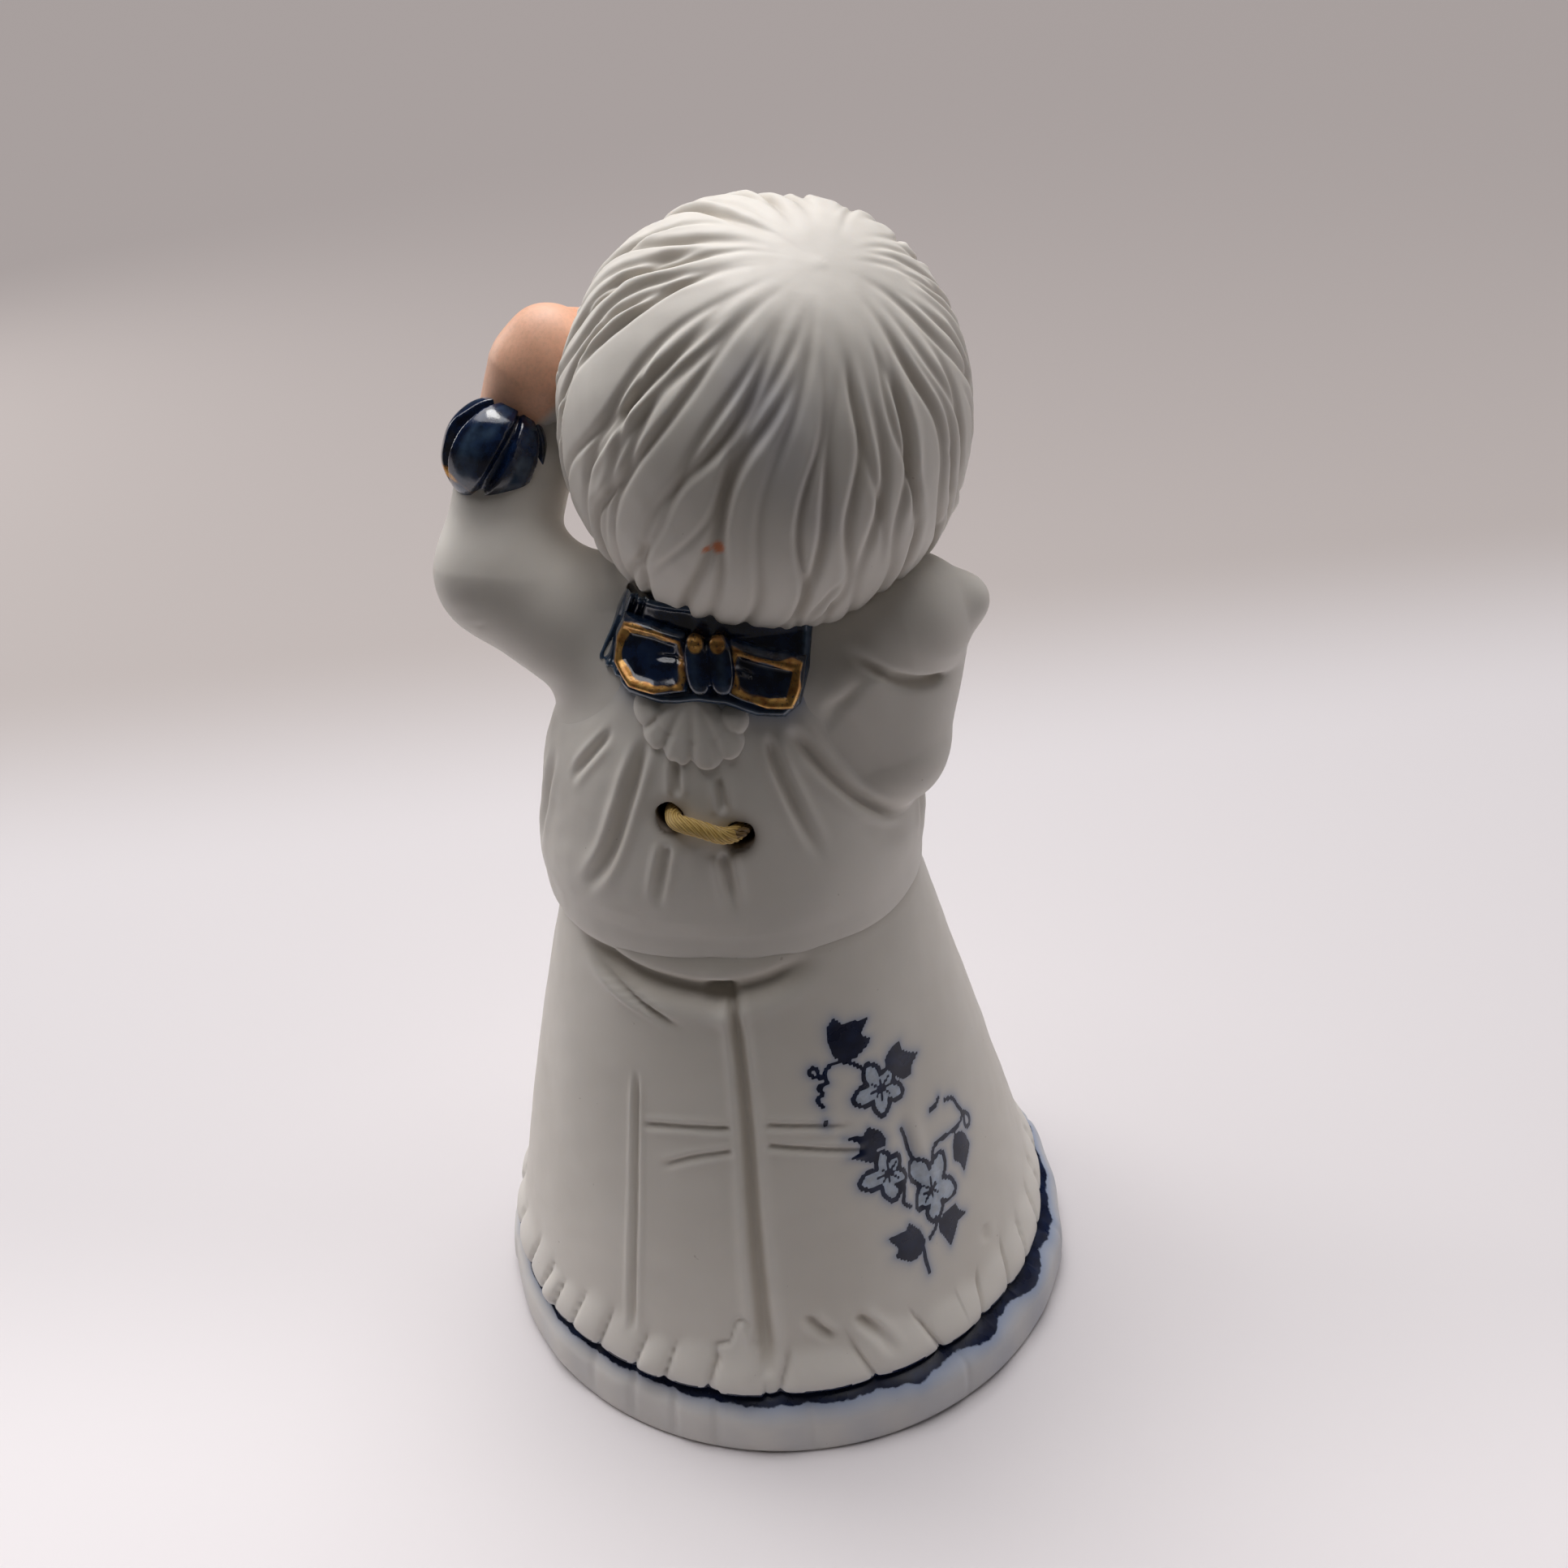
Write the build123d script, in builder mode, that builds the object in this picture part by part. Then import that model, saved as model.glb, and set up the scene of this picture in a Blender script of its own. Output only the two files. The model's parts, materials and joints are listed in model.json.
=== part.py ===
"""Porcelain hand bell: a child in a long skirt, hollow, with a porcelain clapper hung on a cord inside.

Frame: +Z up, the foot rim stands on Z = 0 and the origin is the rim's centre. The child looks along -Y
and its own left hand is on the +X side. All sizes are millimetres.
"""

import math
import os

from build123d import *

os.makedirs("parts", exist_ok=True)

# ---------------------------------------------------------------- driving dimensions
rim_radius = 35.0  # foot flange, outside
flange_reach = 0.8  # how far the flange stands out past the skirt's cone carried down to the table
hem_radius = rim_radius - flange_reach
skirt_height = 56.0  # table to the waist seam
waist_radius = 19.4  # skirt, outside, at the waist seam
wall = 2.6  # thickness of the cast shell
blouse_height = 32.0  # waist seam to the neck seat
skull_radius = 17.9
hair_radius = 19.5
hair_rise = 20.0  # half height of the hair mass
collar_thickness = 1.4
cord_radius = 0.85
hole_radius = 1.35
hole_spacing = 6.7
hole_drop = 1.7  # how much lower the -X hole is than the +X one
clapper_radius = 7.0
running_clearance = 0.08  # clapper bore on its cord
knot_clearance = 0.3  # between pieces that turn on each other

# ---------------------------------------------------------------- the skirt's foot and hem
flange_height = 5.4
flange_step = 1.3  # height of the sloping step above the flange
flange_draft = 0.6  # the flange's outer face leans in by this
step_inset = 2.0  # the top of the step lies this far inside the rim
ruffle_bottom = flange_height + flange_step + 0.5
ruffle_height = 8.2
ruffle_bulge = 1.3  # how far the hem ruffle stands out from the skirt
ruffle_undercut = 0.2  # the recess under the ruffle, inside the cone
ruffle_fullest = 0.42  # share of the ruffle's height at which it stands out most
foot_edge = 0.7  # rounding of the rim's outer edge
pleat_count = 26
pleat_radius = 0.75

# ---------------------------------------------------------------- joints between castings
seat_z = skirt_height + blouse_height  # neck seat
spigot_height = 2.0  # the skirt's lip that rises into the blouse
spigot_wall = wall / 2
neck_radius = 4.5
neck_height = 3.4
vent_radius = 1.8

waist_lean = 3.0  # how far the body sways to +X at the waist
skull_sink = 16.4  # skull centre above the neck seat
head_x = -2.3
skull_y = -0.3
nose_radius = 1.3
nose_drop = 3.4  # below the skull's centre
skull_z = seat_z + skull_sink
hair_lift = 0.2
hair_z = skull_z + hair_lift

# ---------------------------------------------------------------- the cord and clapper
hole_z = skirt_height + 0.45 * blouse_height
hole_x = 3.4
doubled_radius = 1.2  # the two strands laid together below the gathering knot
gathering_radius = 2.0
gathering_drop = 8.5  # holes to the gathering knot
clapper_z = 19.0
stopper_radius = 2.1
tail_length = 6.0
tail_radius = 0.7
tail_angle = 20.0  # each loose end leans this far off the cord's line
bead_flat = 0.35  # ground off the bead round each end of its bore
bend_radius = 1.8 * cord_radius  # of the cord's middle line where it turns into a hole


skirt_shares = (0.0, 0.2, 0.4, 0.6, 0.8, 1.0)  # of the skirt's height, one ring of its cone at each


def skirt_ring(share, inset=0.0):
    """Height, radius and sway of the skirt at a share of its height."""
    z = share * skirt_height
    radius = hem_radius - (hem_radius - waist_radius) * share**1.1 - inset
    return z, radius, waist_lean * share**0.6


# Share of the blouse's height, half width and half depth over the waist radius, and sway to +X.
blouse_rings = [
    (0.00, 1.030, 0.970, 3.4),
    (0.08, 1.072, 1.010, 3.6),
    (0.22, 1.075, 1.010, 3.6),
    (0.44, 1.010, 0.955, 3.4),
    (0.62, 0.915, 0.880, 2.8),
    (0.78, 0.835, 0.800, 2.0),
    (0.90, 0.765, 0.710, 1.0),
    (1.00, 0.660, 0.590, 0.4),
]


def blouse_section(share, grow=0.0):
    """Height, half width, half depth and sway of the blouse, between its rings."""
    for (s0, w0, d0, x0), (s1, w1, d1, x1) in zip(blouse_rings, blouse_rings[1:]):
        if share <= s1:
            t = (share - s0) / (s1 - s0)
            half_width = (w0 + (w1 - w0) * t) * waist_radius + grow
            half_depth = (d0 + (d1 - d0) * t) * waist_radius + grow
            return skirt_height + share * blouse_height, half_width, half_depth, x0 + (x1 - x0) * t
    raise ValueError("share is from 0 to 1")


def loft_skirt(inset=0.0, mode=Mode.ADD):
    """The skirt's cone through its rings, into the part that is open."""
    rings = []
    for share in skirt_shares:
        z, radius, sway = skirt_ring(share, inset)
        with BuildSketch(Plane.XY.offset(z)) as ring:
            with Locations((sway, 0)):
                Circle(radius)
        rings.append(ring.sketch)
    loft(rings, mode=mode)


def blouse_loft(grow=0.0, mode=Mode.ADD):
    """The blouse's outer form, grown outwards by grow, into the part that is open."""
    rings = []
    for share, *_ in blouse_rings:
        z, half_width, half_depth, sway = blouse_section(share, grow)
        with BuildSketch(Plane.XY.offset(z)) as ring:
            with Locations((sway, 0)):
                Ellipse(half_width, half_depth)
        rings.append(ring.sketch)
    loft(rings, mode=mode)


def limb(start, end, start_radius, end_radius):
    """A tapered limb with a ball at its far end, into the part that is open."""
    axis = Vector(*end) - Vector(*start)
    with BuildSketch(Plane(origin=start, z_dir=axis)) as near:
        Circle(start_radius)
    with BuildSketch(Plane(origin=end, z_dir=axis)) as far:
        Circle(end_radius)
    loft([near.sketch, far.sketch])
    with Locations(end):
        Sphere(end_radius)


def hair_mass(mode=Mode.ADD):
    """The hair's whole outer form, into the part that is open."""
    spheroid((head_x, 0, hair_z), (0, 0, 1), hair_rise, hair_radius, mode=mode)


def spheroid(centre, axis, long_radius, round_radius, mode=Mode.ADD):
    """An egg of revolution with its long radius along axis, into the part that is open."""
    along = Vector(*axis).normalized()
    helper = Vector(0, 0, 1) if abs(along.Z) < 0.9 else Vector(1, 0, 0)
    across = along.cross(helper).normalized()
    with BuildSketch(Plane(origin=centre, x_dir=across, z_dir=across.cross(along))) as half:
        Ellipse(round_radius, long_radius)
        with Locations((-round_radius, 0)):
            Rectangle(2 * round_radius, 2.2 * long_radius, mode=Mode.SUBTRACT)
    revolve(half.sketch, axis=Axis(centre, tuple(along)), mode=mode)


def save(builder, name):
    """Labels a finished piece and writes its file."""
    builder.part.label = name
    export_step(builder.part, f"parts/{name}.step")
    print(name, round(builder.part.volume, 1))


# ================================================================ bell_skirt
waist_z, _, waist_sway = skirt_ring(1.0)
ruffle_sway = skirt_ring((ruffle_bottom + ruffle_height / 2) / skirt_height)[2]
ruffle_top_radius = skirt_ring((ruffle_bottom + ruffle_height) / skirt_height)[1]
ruffle_low_radius = skirt_ring(ruffle_bottom / skirt_height)[1] - ruffle_undercut

with BuildPart() as bell_skirt:
    loft_skirt()
    with BuildSketch(Plane.XZ):  # foot flange, turned about the rim's own centre
        with BuildLine():
            Polyline(
                (rim_radius - 2 * wall, 0),
                (rim_radius, 0),
                (rim_radius - flange_draft, flange_height),
                (rim_radius - step_inset, flange_height + flange_step),
                (rim_radius - 2 * wall, flange_height + flange_step),
                close=True,
            )
        make_face()
    revolve(axis=Axis.Z)
    with BuildSketch(Plane.XZ):  # hem ruffle, turned about the skirt's axis there
        with BuildLine():
            Polyline(
                (ruffle_sway + ruffle_low_radius, ruffle_bottom),
                (ruffle_sway + ruffle_low_radius - wall, ruffle_bottom),
                (ruffle_sway + ruffle_top_radius - wall, ruffle_bottom + ruffle_height),
                (ruffle_sway + ruffle_top_radius, ruffle_bottom + ruffle_height),
            )
            ThreePointArc(
                (ruffle_sway + ruffle_top_radius, ruffle_bottom + ruffle_height),
                (
                    ruffle_sway + (ruffle_low_radius + ruffle_top_radius) / 2 + ruffle_bulge,
                    ruffle_bottom + ruffle_fullest * ruffle_height,
                ),
                (ruffle_sway + ruffle_low_radius, ruffle_bottom),
            )
        make_face()
    revolve(axis=Axis((ruffle_sway, 0, 0), (0, 0, 1)))
    foot = bell_skirt.edges().filter_by(GeomType.CIRCLE).group_by(Axis.Z)[0].sort_by(SortBy.RADIUS)[-1]
    fillet(foot, foot_edge)
    pleat_tilt = math.degrees(math.atan2(rim_radius - ruffle_top_radius, ruffle_height + flange_height))
    pleat_ring = Plane(origin=(ruffle_sway, 0, ruffle_bottom + ruffle_height / 2))
    with Locations(pleat_ring):
        with PolarLocations((ruffle_low_radius + ruffle_top_radius) / 2 + ruffle_bulge, pleat_count):
            Cylinder(pleat_radius, ruffle_height, rotation=(0, -pleat_tilt / 2, 0), mode=Mode.SUBTRACT)
    loft_skirt(inset=wall, mode=Mode.SUBTRACT)
    with BuildSketch(Plane.XY.offset(waist_z)):
        with Locations((waist_sway, 0)):
            Circle(waist_radius - spigot_wall)
            Circle(waist_radius - wall, mode=Mode.SUBTRACT)
    extrude(amount=spigot_height)
save(bell_skirt, "bell_skirt")

# ================================================================ blouse
with BuildPart() as blouse_form:
    blouse_loft()

cavity_top = 0.80  # share of the blouse's height where its hollow ends
back_depth = blouse_section((hole_z - skirt_height) / blouse_height)[2]
hole_left = (hole_x + hole_spacing / 2, hole_z + hole_drop / 2)
hole_right = (hole_x - hole_spacing / 2, hole_z - hole_drop / 2)

with BuildPart() as blouse:
    add(blouse_form.part)
    with BuildSketch(Plane.XY.offset(waist_z)):  # the skirt's bore carried up to the hollow
        with Locations((waist_sway, 0)):
            Circle(waist_radius - spigot_wall)
    extrude(amount=spigot_height, mode=Mode.SUBTRACT)
    for share in (0.0, 0.22, 0.44, 0.62, cavity_top):
        z, half_width, half_depth, sway = blouse_section(share, -wall)
        if share == 0.0:  # the hollow starts as wide as the spigot's bore
            half_width = half_depth = waist_radius - wall
            sway = waist_sway
        with BuildSketch(Plane.XY.offset(z)):
            with Locations((sway, 0)):
                Ellipse(half_width, half_depth)
    loft(mode=Mode.SUBTRACT)
    with BuildSketch(Plane.XZ):
        with Locations(hole_left, hole_right):
            Circle(hole_radius)
    extrude(amount=-2 * waist_radius, mode=Mode.SUBTRACT)
    with Locations((head_x, skull_y, seat_z + neck_height / 2)):
        Cylinder(neck_radius, neck_height)
    with Locations((head_x, skull_y, seat_z)):
        Cylinder(vent_radius, blouse_height / 2, mode=Mode.SUBTRACT)
save(blouse, "blouse")

# ================================================================ head and hair
with BuildPart() as head:
    with Locations((head_x, skull_y, skull_z)):
        Sphere(skull_radius)
    with Locations((head_x, skull_y - skull_radius, skull_z - nose_drop)):
        Sphere(nose_radius)
    split(bisect_by=Plane.XY.offset(seat_z), keep=Keep.TOP)
    with Locations((head_x, skull_y, skull_z)):
        Sphere(skull_radius - wall, mode=Mode.SUBTRACT)
    with Locations((head_x, skull_y, seat_z + neck_height / 2)):
        Cylinder(neck_radius, neck_height, mode=Mode.SUBTRACT)
save(head, "head")

hairline_z = seat_z + 0.6  # lower edge of the hair at the nape
fringe_z = skull_z + 3.6  # lower edge of the fringe over the brow
face_half_width = 12.2
face_side_y = -5.5  # the face opening is cut forward of here
face_corner = 5.0

with BuildPart() as hair:
    hair_mass()
    split(bisect_by=Plane.XY.offset(hairline_z), keep=Keep.TOP)
    with Locations((head_x, skull_y, skull_z)):
        Sphere(skull_radius, mode=Mode.SUBTRACT)
    face_height = fringe_z - hairline_z + face_corner + 1
    with BuildSketch(Plane.XZ.offset(-face_side_y)):
        with Locations((head_x, fringe_z - face_height / 2)):
            RectangleRounded(2 * face_half_width, face_height, face_corner)
    extrude(amount=hair_radius, mode=Mode.SUBTRACT)
save(hair, "hair")

# ================================================================ left arm, raised to the head
shoulder_z = seat_z - 6.0
left_shoulder = (10.5, 2.0, shoulder_z)
left_elbow = (25.3, 1.5, seat_z + 1.3)
left_wrist = (23.3, -2.4, seat_z + 12.5)
left_cuff_centre = (25.0, -1.6, seat_z + 14.2)
left_hand_centre = (20.6, -5.0, seat_z + 20.8)
left_arm_axis = (-0.37, -0.33, 0.87)
left_shoulder_radius = 7.6
left_elbow_radius = 7.1
left_wrist_radius = 5.4
left_cuff_size = (5.2, 4.7)  # half length and radius
left_hand_size = (6.6, 4.9)

with BuildPart() as left_sleeve:
    limb(left_shoulder, left_elbow, left_shoulder_radius, left_elbow_radius)
    limb(left_elbow, left_wrist, left_elbow_radius, left_wrist_radius)
    add(blouse_form.part, mode=Mode.SUBTRACT)
    hair_mass(Mode.SUBTRACT)
save(left_sleeve, "left_sleeve")

with BuildPart() as left_cuff:
    spheroid(left_cuff_centre, left_arm_axis, *left_cuff_size)
    add(left_sleeve.part, mode=Mode.SUBTRACT)
save(left_cuff, "left_cuff")

with BuildPart() as left_hand:
    spheroid(left_hand_centre, left_arm_axis, *left_hand_size)
    add(left_sleeve.part, mode=Mode.SUBTRACT)
    add(left_cuff.part, mode=Mode.SUBTRACT)
    hair_mass(Mode.SUBTRACT)
save(left_hand, "left_hand")

# ================================================================ right arm, folded to the chest
right_shoulder = (-5.5, 2.5, shoulder_z)
right_elbow = (-15.0, 3.2, seat_z - 1.8)
right_point = (-22.0, 4.0, seat_z + 0.6)
right_wrist = (-9.6, -10.6, seat_z - 3.4)
right_cuff_centre = (-7.6, -13.4, seat_z - 3.4)
right_fingers = (-0.4, -14.8, seat_z - 1.8)
right_arm_axis = (0.72, -0.66, 0.1)
right_shoulder_radius = 7.4
right_elbow_radii = (6.7, 6.4, 6.2)  # toward the shoulder, the point of the elbow and the wrist
right_point_radius = 1.5
right_wrist_radius = 4.3
right_cuff_radius = 4.9
right_cuff_edge = 1.4
right_palm_radius = 3.9
right_fingers_radius = 3.1
drape_axis = (-0.25, 0.0, 1.0)
drape_size = (10.2, 7.6)
right_cuff_width = 4.2
drape_centre = (-13.2, 4.2, seat_z - 11.8)

with BuildPart() as right_sleeve:
    limb(right_shoulder, right_elbow, right_shoulder_radius, right_elbow_radii[0])
    limb(right_elbow, right_point, right_elbow_radii[1], right_point_radius)
    limb(right_elbow, right_wrist, right_elbow_radii[2], right_wrist_radius)
    spheroid(drape_centre, drape_axis, *drape_size)
    add(blouse_form.part, mode=Mode.SUBTRACT)
    hair_mass(Mode.SUBTRACT)
save(right_sleeve, "right_sleeve")

with BuildPart() as right_cuff_form:
    with Locations(Plane(origin=right_cuff_centre, z_dir=right_arm_axis)):
        Cylinder(right_cuff_radius, right_cuff_width)
    fillet(right_cuff_form.edges().filter_by(GeomType.CIRCLE), right_cuff_edge)

with BuildPart() as right_cuff:
    add(right_cuff_form.part)
    add(right_sleeve.part, mode=Mode.SUBTRACT)
    add(blouse_form.part, mode=Mode.SUBTRACT)
save(right_cuff, "right_cuff")

with BuildPart() as right_hand:
    limb(right_cuff_centre, right_fingers, right_palm_radius, right_fingers_radius)
    add(right_cuff_form.part, mode=Mode.SUBTRACT)
    add(blouse_form.part, mode=Mode.SUBTRACT)
save(right_hand, "right_hand")

# ================================================================ collar, bow and frill on the back
collar_tilt = 9.0
collar_x = 1.8
collar_z = seat_z - 1.6
tilt = math.radians(collar_tilt)
# Local x is +X raised by the tilt and local y is up; extruding by a negative amount goes to the back.
back_frame = Plane(
    origin=(collar_x, 0, collar_z), x_dir=(math.cos(tilt), 0, math.sin(tilt)), z_dir=(0, -1, 0)
)
back_reach = -1.5 * waist_radius
collar_size = (20.0, 8.4)
collar_corner = 1.6
front_collar_size = (13.0, 6.4)
front_collar_shift = 2.6  # it lies this far to +X of the back one
knot_height = 5.0
knot_corner = 1.3
loop_lift = 0.2  # the left loop sits higher in the collar's own frame, the right one lower
loop_corner = 1.2
frill_middle = (0.3, -3.2)
bow_thickness = 1.1
knot_thickness = 1.9
knot_width = 3.8
loop_width = 5.6
loop_height = 5.6
frill_thickness = 1.2
frill_radius = 6.2

with BuildPart() as collar_form:
    blouse_loft(grow=collar_thickness)

with BuildPart() as back_collar:
    with BuildSketch(back_frame):
        RectangleRounded(*collar_size, collar_corner)
    extrude(amount=back_reach)
    add(collar_form.part, mode=Mode.INTERSECT)
    add(blouse_form.part, mode=Mode.SUBTRACT)
    add(left_sleeve.part, mode=Mode.SUBTRACT)
    add(right_sleeve.part, mode=Mode.SUBTRACT)
    hair_mass(Mode.SUBTRACT)
save(back_collar, "back_collar")

with BuildPart() as bow_knot:
    with BuildSketch(back_frame):
        RectangleRounded(knot_width, knot_height, knot_corner)
    extrude(amount=back_reach)
    blouse_loft(grow=collar_thickness + knot_thickness, mode=Mode.INTERSECT)
    add(collar_form.part, mode=Mode.SUBTRACT)
    hair_mass(Mode.SUBTRACT)
save(bow_knot, "bow_knot")

for side, name in ((-1, "bow_loop_right"), (1, "bow_loop_left")):
    with BuildPart() as bow_loop:
        with BuildSketch(back_frame):
            with Locations((side * (knot_width + loop_width) / 2, side * loop_lift)):
                RectangleRounded(loop_width, loop_height, loop_corner)
        extrude(amount=back_reach)
        blouse_loft(grow=collar_thickness + bow_thickness, mode=Mode.INTERSECT)
        add(collar_form.part, mode=Mode.SUBTRACT)
        add(left_sleeve.part, mode=Mode.SUBTRACT)
        add(right_sleeve.part, mode=Mode.SUBTRACT)
        hair_mass(Mode.SUBTRACT)
    save(bow_loop, name)

with BuildPart() as neck_frill:
    with BuildSketch(back_frame):
        with Locations(frill_middle):
            Circle(frill_radius)
    extrude(amount=back_reach)
    blouse_loft(grow=frill_thickness, mode=Mode.INTERSECT)
    add(blouse_form.part, mode=Mode.SUBTRACT)
    add(back_collar.part, mode=Mode.SUBTRACT)
save(neck_frill, "neck_frill")

front_frame = Plane(origin=(collar_x + front_collar_shift, 0, collar_z), x_dir=(1, 0, 0), z_dir=(0, -1, 0))
with BuildPart() as front_collar:
    with BuildSketch(front_frame):
        RectangleRounded(*front_collar_size, collar_corner)
    extrude(amount=-back_reach)
    add(collar_form.part, mode=Mode.INTERSECT)
    add(blouse_form.part, mode=Mode.SUBTRACT)
    for neighbour in (left_sleeve, right_cuff, right_hand):
        add(neighbour.part, mode=Mode.SUBTRACT)
save(front_collar, "front_collar")

# ================================================================ cord, knots and clapper
cord_sag = hole_radius - cord_radius  # the cord bears on the bottom of each hole
hinge_y = back_depth - wall - 2 * cord_radius  # the strands bend down here, inside the back wall
stitch_y = back_depth + 1.2 * cord_radius
cord_left = (hole_left[0], hole_left[1] - cord_sag)
cord_right = (hole_right[0], hole_right[1] - cord_sag)
stitch_end_y = hinge_y + cord_radius + knot_clearance
gathering_z = hole_z - cord_sag - gathering_drop
bead_half_length = clapper_radius - bead_flat
stopper_z = clapper_z - bead_half_length - knot_clearance - stopper_radius

with BuildPart() as cord_stitch:
    with BuildLine():
        FilletPolyline(
            (cord_left[0], stitch_end_y, cord_left[1]),
            (cord_left[0], stitch_y, cord_left[1]),
            (cord_right[0], stitch_y, cord_right[1]),
            (cord_right[0], stitch_end_y, cord_right[1]),
            radius=bend_radius,
        )
    with BuildSketch(Plane(origin=(cord_left[0], stitch_end_y, cord_left[1]), z_dir=(0, 1, 0))):
        Circle(cord_radius)
    sweep()
save(cord_stitch, "cord_stitch")

with BuildPart() as cord_strands:
    for x, z in (cord_left, cord_right):
        start = Vector(x, hinge_y, z)
        end = Vector(hole_x, hinge_y, gathering_z)
        with BuildSketch(Plane(origin=start, z_dir=end - start)):
            Circle(cord_radius)
        extrude(amount=(end - start).length)
        with Locations(start):
            Sphere(cord_radius)
    with Locations((hole_x, hinge_y, gathering_z)):
        Sphere(gathering_radius, mode=Mode.SUBTRACT)
save(cord_strands, "cord_strands")

with BuildPart() as gathering_knot:
    with Locations((hole_x, hinge_y, gathering_z)):
        Sphere(gathering_radius)
save(gathering_knot, "gathering_knot")

with BuildPart() as doubled_cord:
    with BuildSketch(Plane.XY.offset(gathering_z)):
        with Locations((hole_x, hinge_y)):
            Circle(doubled_radius)
    extrude(amount=stopper_z - gathering_z)
    with Locations((hole_x, hinge_y, gathering_z)):
        Sphere(gathering_radius + knot_clearance, mode=Mode.SUBTRACT)
    with Locations((hole_x, hinge_y, stopper_z)):
        Sphere(stopper_radius, mode=Mode.SUBTRACT)
save(doubled_cord, "doubled_cord")

with BuildPart() as stopper_knot:
    with Locations((hole_x, hinge_y, stopper_z)):
        Sphere(stopper_radius)
    for side in (-1, 1):
        slant = (0, math.sin(math.radians(side * tail_angle)), -math.cos(math.radians(tail_angle)))
        with Locations(Plane(origin=(hole_x, hinge_y + side * tail_radius, stopper_z), z_dir=slant)):
            Cylinder(tail_radius, tail_length, align=(Align.CENTER, Align.CENTER, Align.MIN))
save(stopper_knot, "stopper_knot")

with BuildPart() as clapper:
    with Locations((hole_x, hinge_y, clapper_z)):
        Sphere(clapper_radius)
    for side, keep in ((-1, Keep.TOP), (1, Keep.BOTTOM)):
        split(bisect_by=Plane.XY.offset(clapper_z + side * bead_half_length), keep=keep)
    with Locations((hole_x, hinge_y, clapper_z)):
        Cylinder(doubled_radius + running_clearance, 3 * clapper_radius, mode=Mode.SUBTRACT)
save(clapper, "clapper")

print("top", hair_z + hair_rise, "strand bends", cord_left, cord_right, "at y", round(hinge_y, 3))
print("gathering knot", (hole_x, round(hinge_y, 3), round(gathering_z, 3)), "clapper z", clapper_z)
print("cord stitch bends at", bend_radius, "for a cord of radius", cord_radius)
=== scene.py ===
"""Porcelain hand bell in the shape of a child, dressed on the bell's own CAD frame.

The child wears a long pleated skirt with a puffed hem, a loose blouse and a cobalt collar with a
gilded bow, and has one arm raised to its bowl-cut hair. A porcelain bead hangs inside on a cord
stitched through two holes in the back. Sizes in the classes below are millimetres in the frame's
own axes: +Z up, the child looking along -Y.
"""
import json
import logging
import math
from dataclasses import dataclass, field
from enum import Enum
from typing import Callable, Sequence

import bpy
import numpy as np
from mathutils import Matrix, Vector

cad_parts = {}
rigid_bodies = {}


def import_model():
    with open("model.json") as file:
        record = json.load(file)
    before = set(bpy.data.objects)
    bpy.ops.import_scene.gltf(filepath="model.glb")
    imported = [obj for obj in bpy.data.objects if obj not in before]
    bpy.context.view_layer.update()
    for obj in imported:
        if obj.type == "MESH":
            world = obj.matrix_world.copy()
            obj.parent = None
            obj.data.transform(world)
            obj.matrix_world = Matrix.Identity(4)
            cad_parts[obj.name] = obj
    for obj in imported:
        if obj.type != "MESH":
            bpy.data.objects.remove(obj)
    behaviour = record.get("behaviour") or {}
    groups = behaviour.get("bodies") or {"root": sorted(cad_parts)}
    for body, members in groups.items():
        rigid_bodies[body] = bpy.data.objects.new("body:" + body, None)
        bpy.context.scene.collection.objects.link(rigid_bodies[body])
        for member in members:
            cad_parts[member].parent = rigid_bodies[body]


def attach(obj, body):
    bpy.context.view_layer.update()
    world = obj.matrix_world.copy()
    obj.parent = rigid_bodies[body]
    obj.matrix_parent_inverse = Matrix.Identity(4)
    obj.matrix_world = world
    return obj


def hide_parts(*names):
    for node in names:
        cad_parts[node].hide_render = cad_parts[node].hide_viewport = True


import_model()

log = logging.getLogger("bell")
MM = 0.001
FIGURE = "figure"
Array = np.ndarray
Form = Callable[[Array], Array]
Point2 = tuple[float, float]
Point3 = tuple[float, float, float]


# ------------------------------------------------------------------ distances and sculpting tools
def ease(value: Array | float, low: float, high: float) -> Array | float:
    """A smooth step from 0 at low to 1 at high."""
    t = np.clip((value - low) / (high - low), 0.0, 1.0)
    return t * t * (3.0 - 2.0 * t)


def melt(a: Array, b: Array, width: float) -> Array:
    """The union of two forms, filleted over width."""
    h = np.maximum(width - np.abs(a - b), 0.0) / width
    return np.minimum(a, b) - h * h * width * 0.25


def trim(a: Array, b: Array, width: float) -> Array:
    """The part of form a that lies inside form b, with its edge rounded over width."""
    return -melt(-a, -b, width)


def ball(p: Array, centre: Point3, radius: float) -> Array:
    """Distance to a ball."""
    return np.linalg.norm(p - np.array(centre), axis=1) - radius


def egg(p: Array, centre: Point3, radii: Point3, frame3: Array | None = None) -> Array:
    """Near distance to an ellipsoid.

    Args:
        p: points, one a row.
        centre: its centre.
        radii: its three half sizes.
        frame3: rows are its own axes, or None where they are the world's.

    Returns:
        The distance of each point, negative inside.
    """
    q = p - np.array(centre)
    if frame3 is not None:
        q = q @ frame3.T
    r = np.array(radii)
    k0 = np.linalg.norm(q / r, axis=1)
    k1 = np.linalg.norm(q / (r * r), axis=1)
    return k0 * (k0 - 1.0) / np.maximum(k1, 1e-6)


def limb(p: Array, start: Point3, end: Point3, start_radius: float, end_radius: float) -> Array:
    """Near distance to a round limb that tapers from start to end."""
    a, b = np.array(start), np.array(end)
    t = np.clip((p - a) @ (b - a) / np.dot(b - a, b - a), 0.0, 1.0)
    return np.linalg.norm(p - a - t[:, None] * (b - a), axis=1) - (start_radius + (end_radius - start_radius)
            * t)


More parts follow.
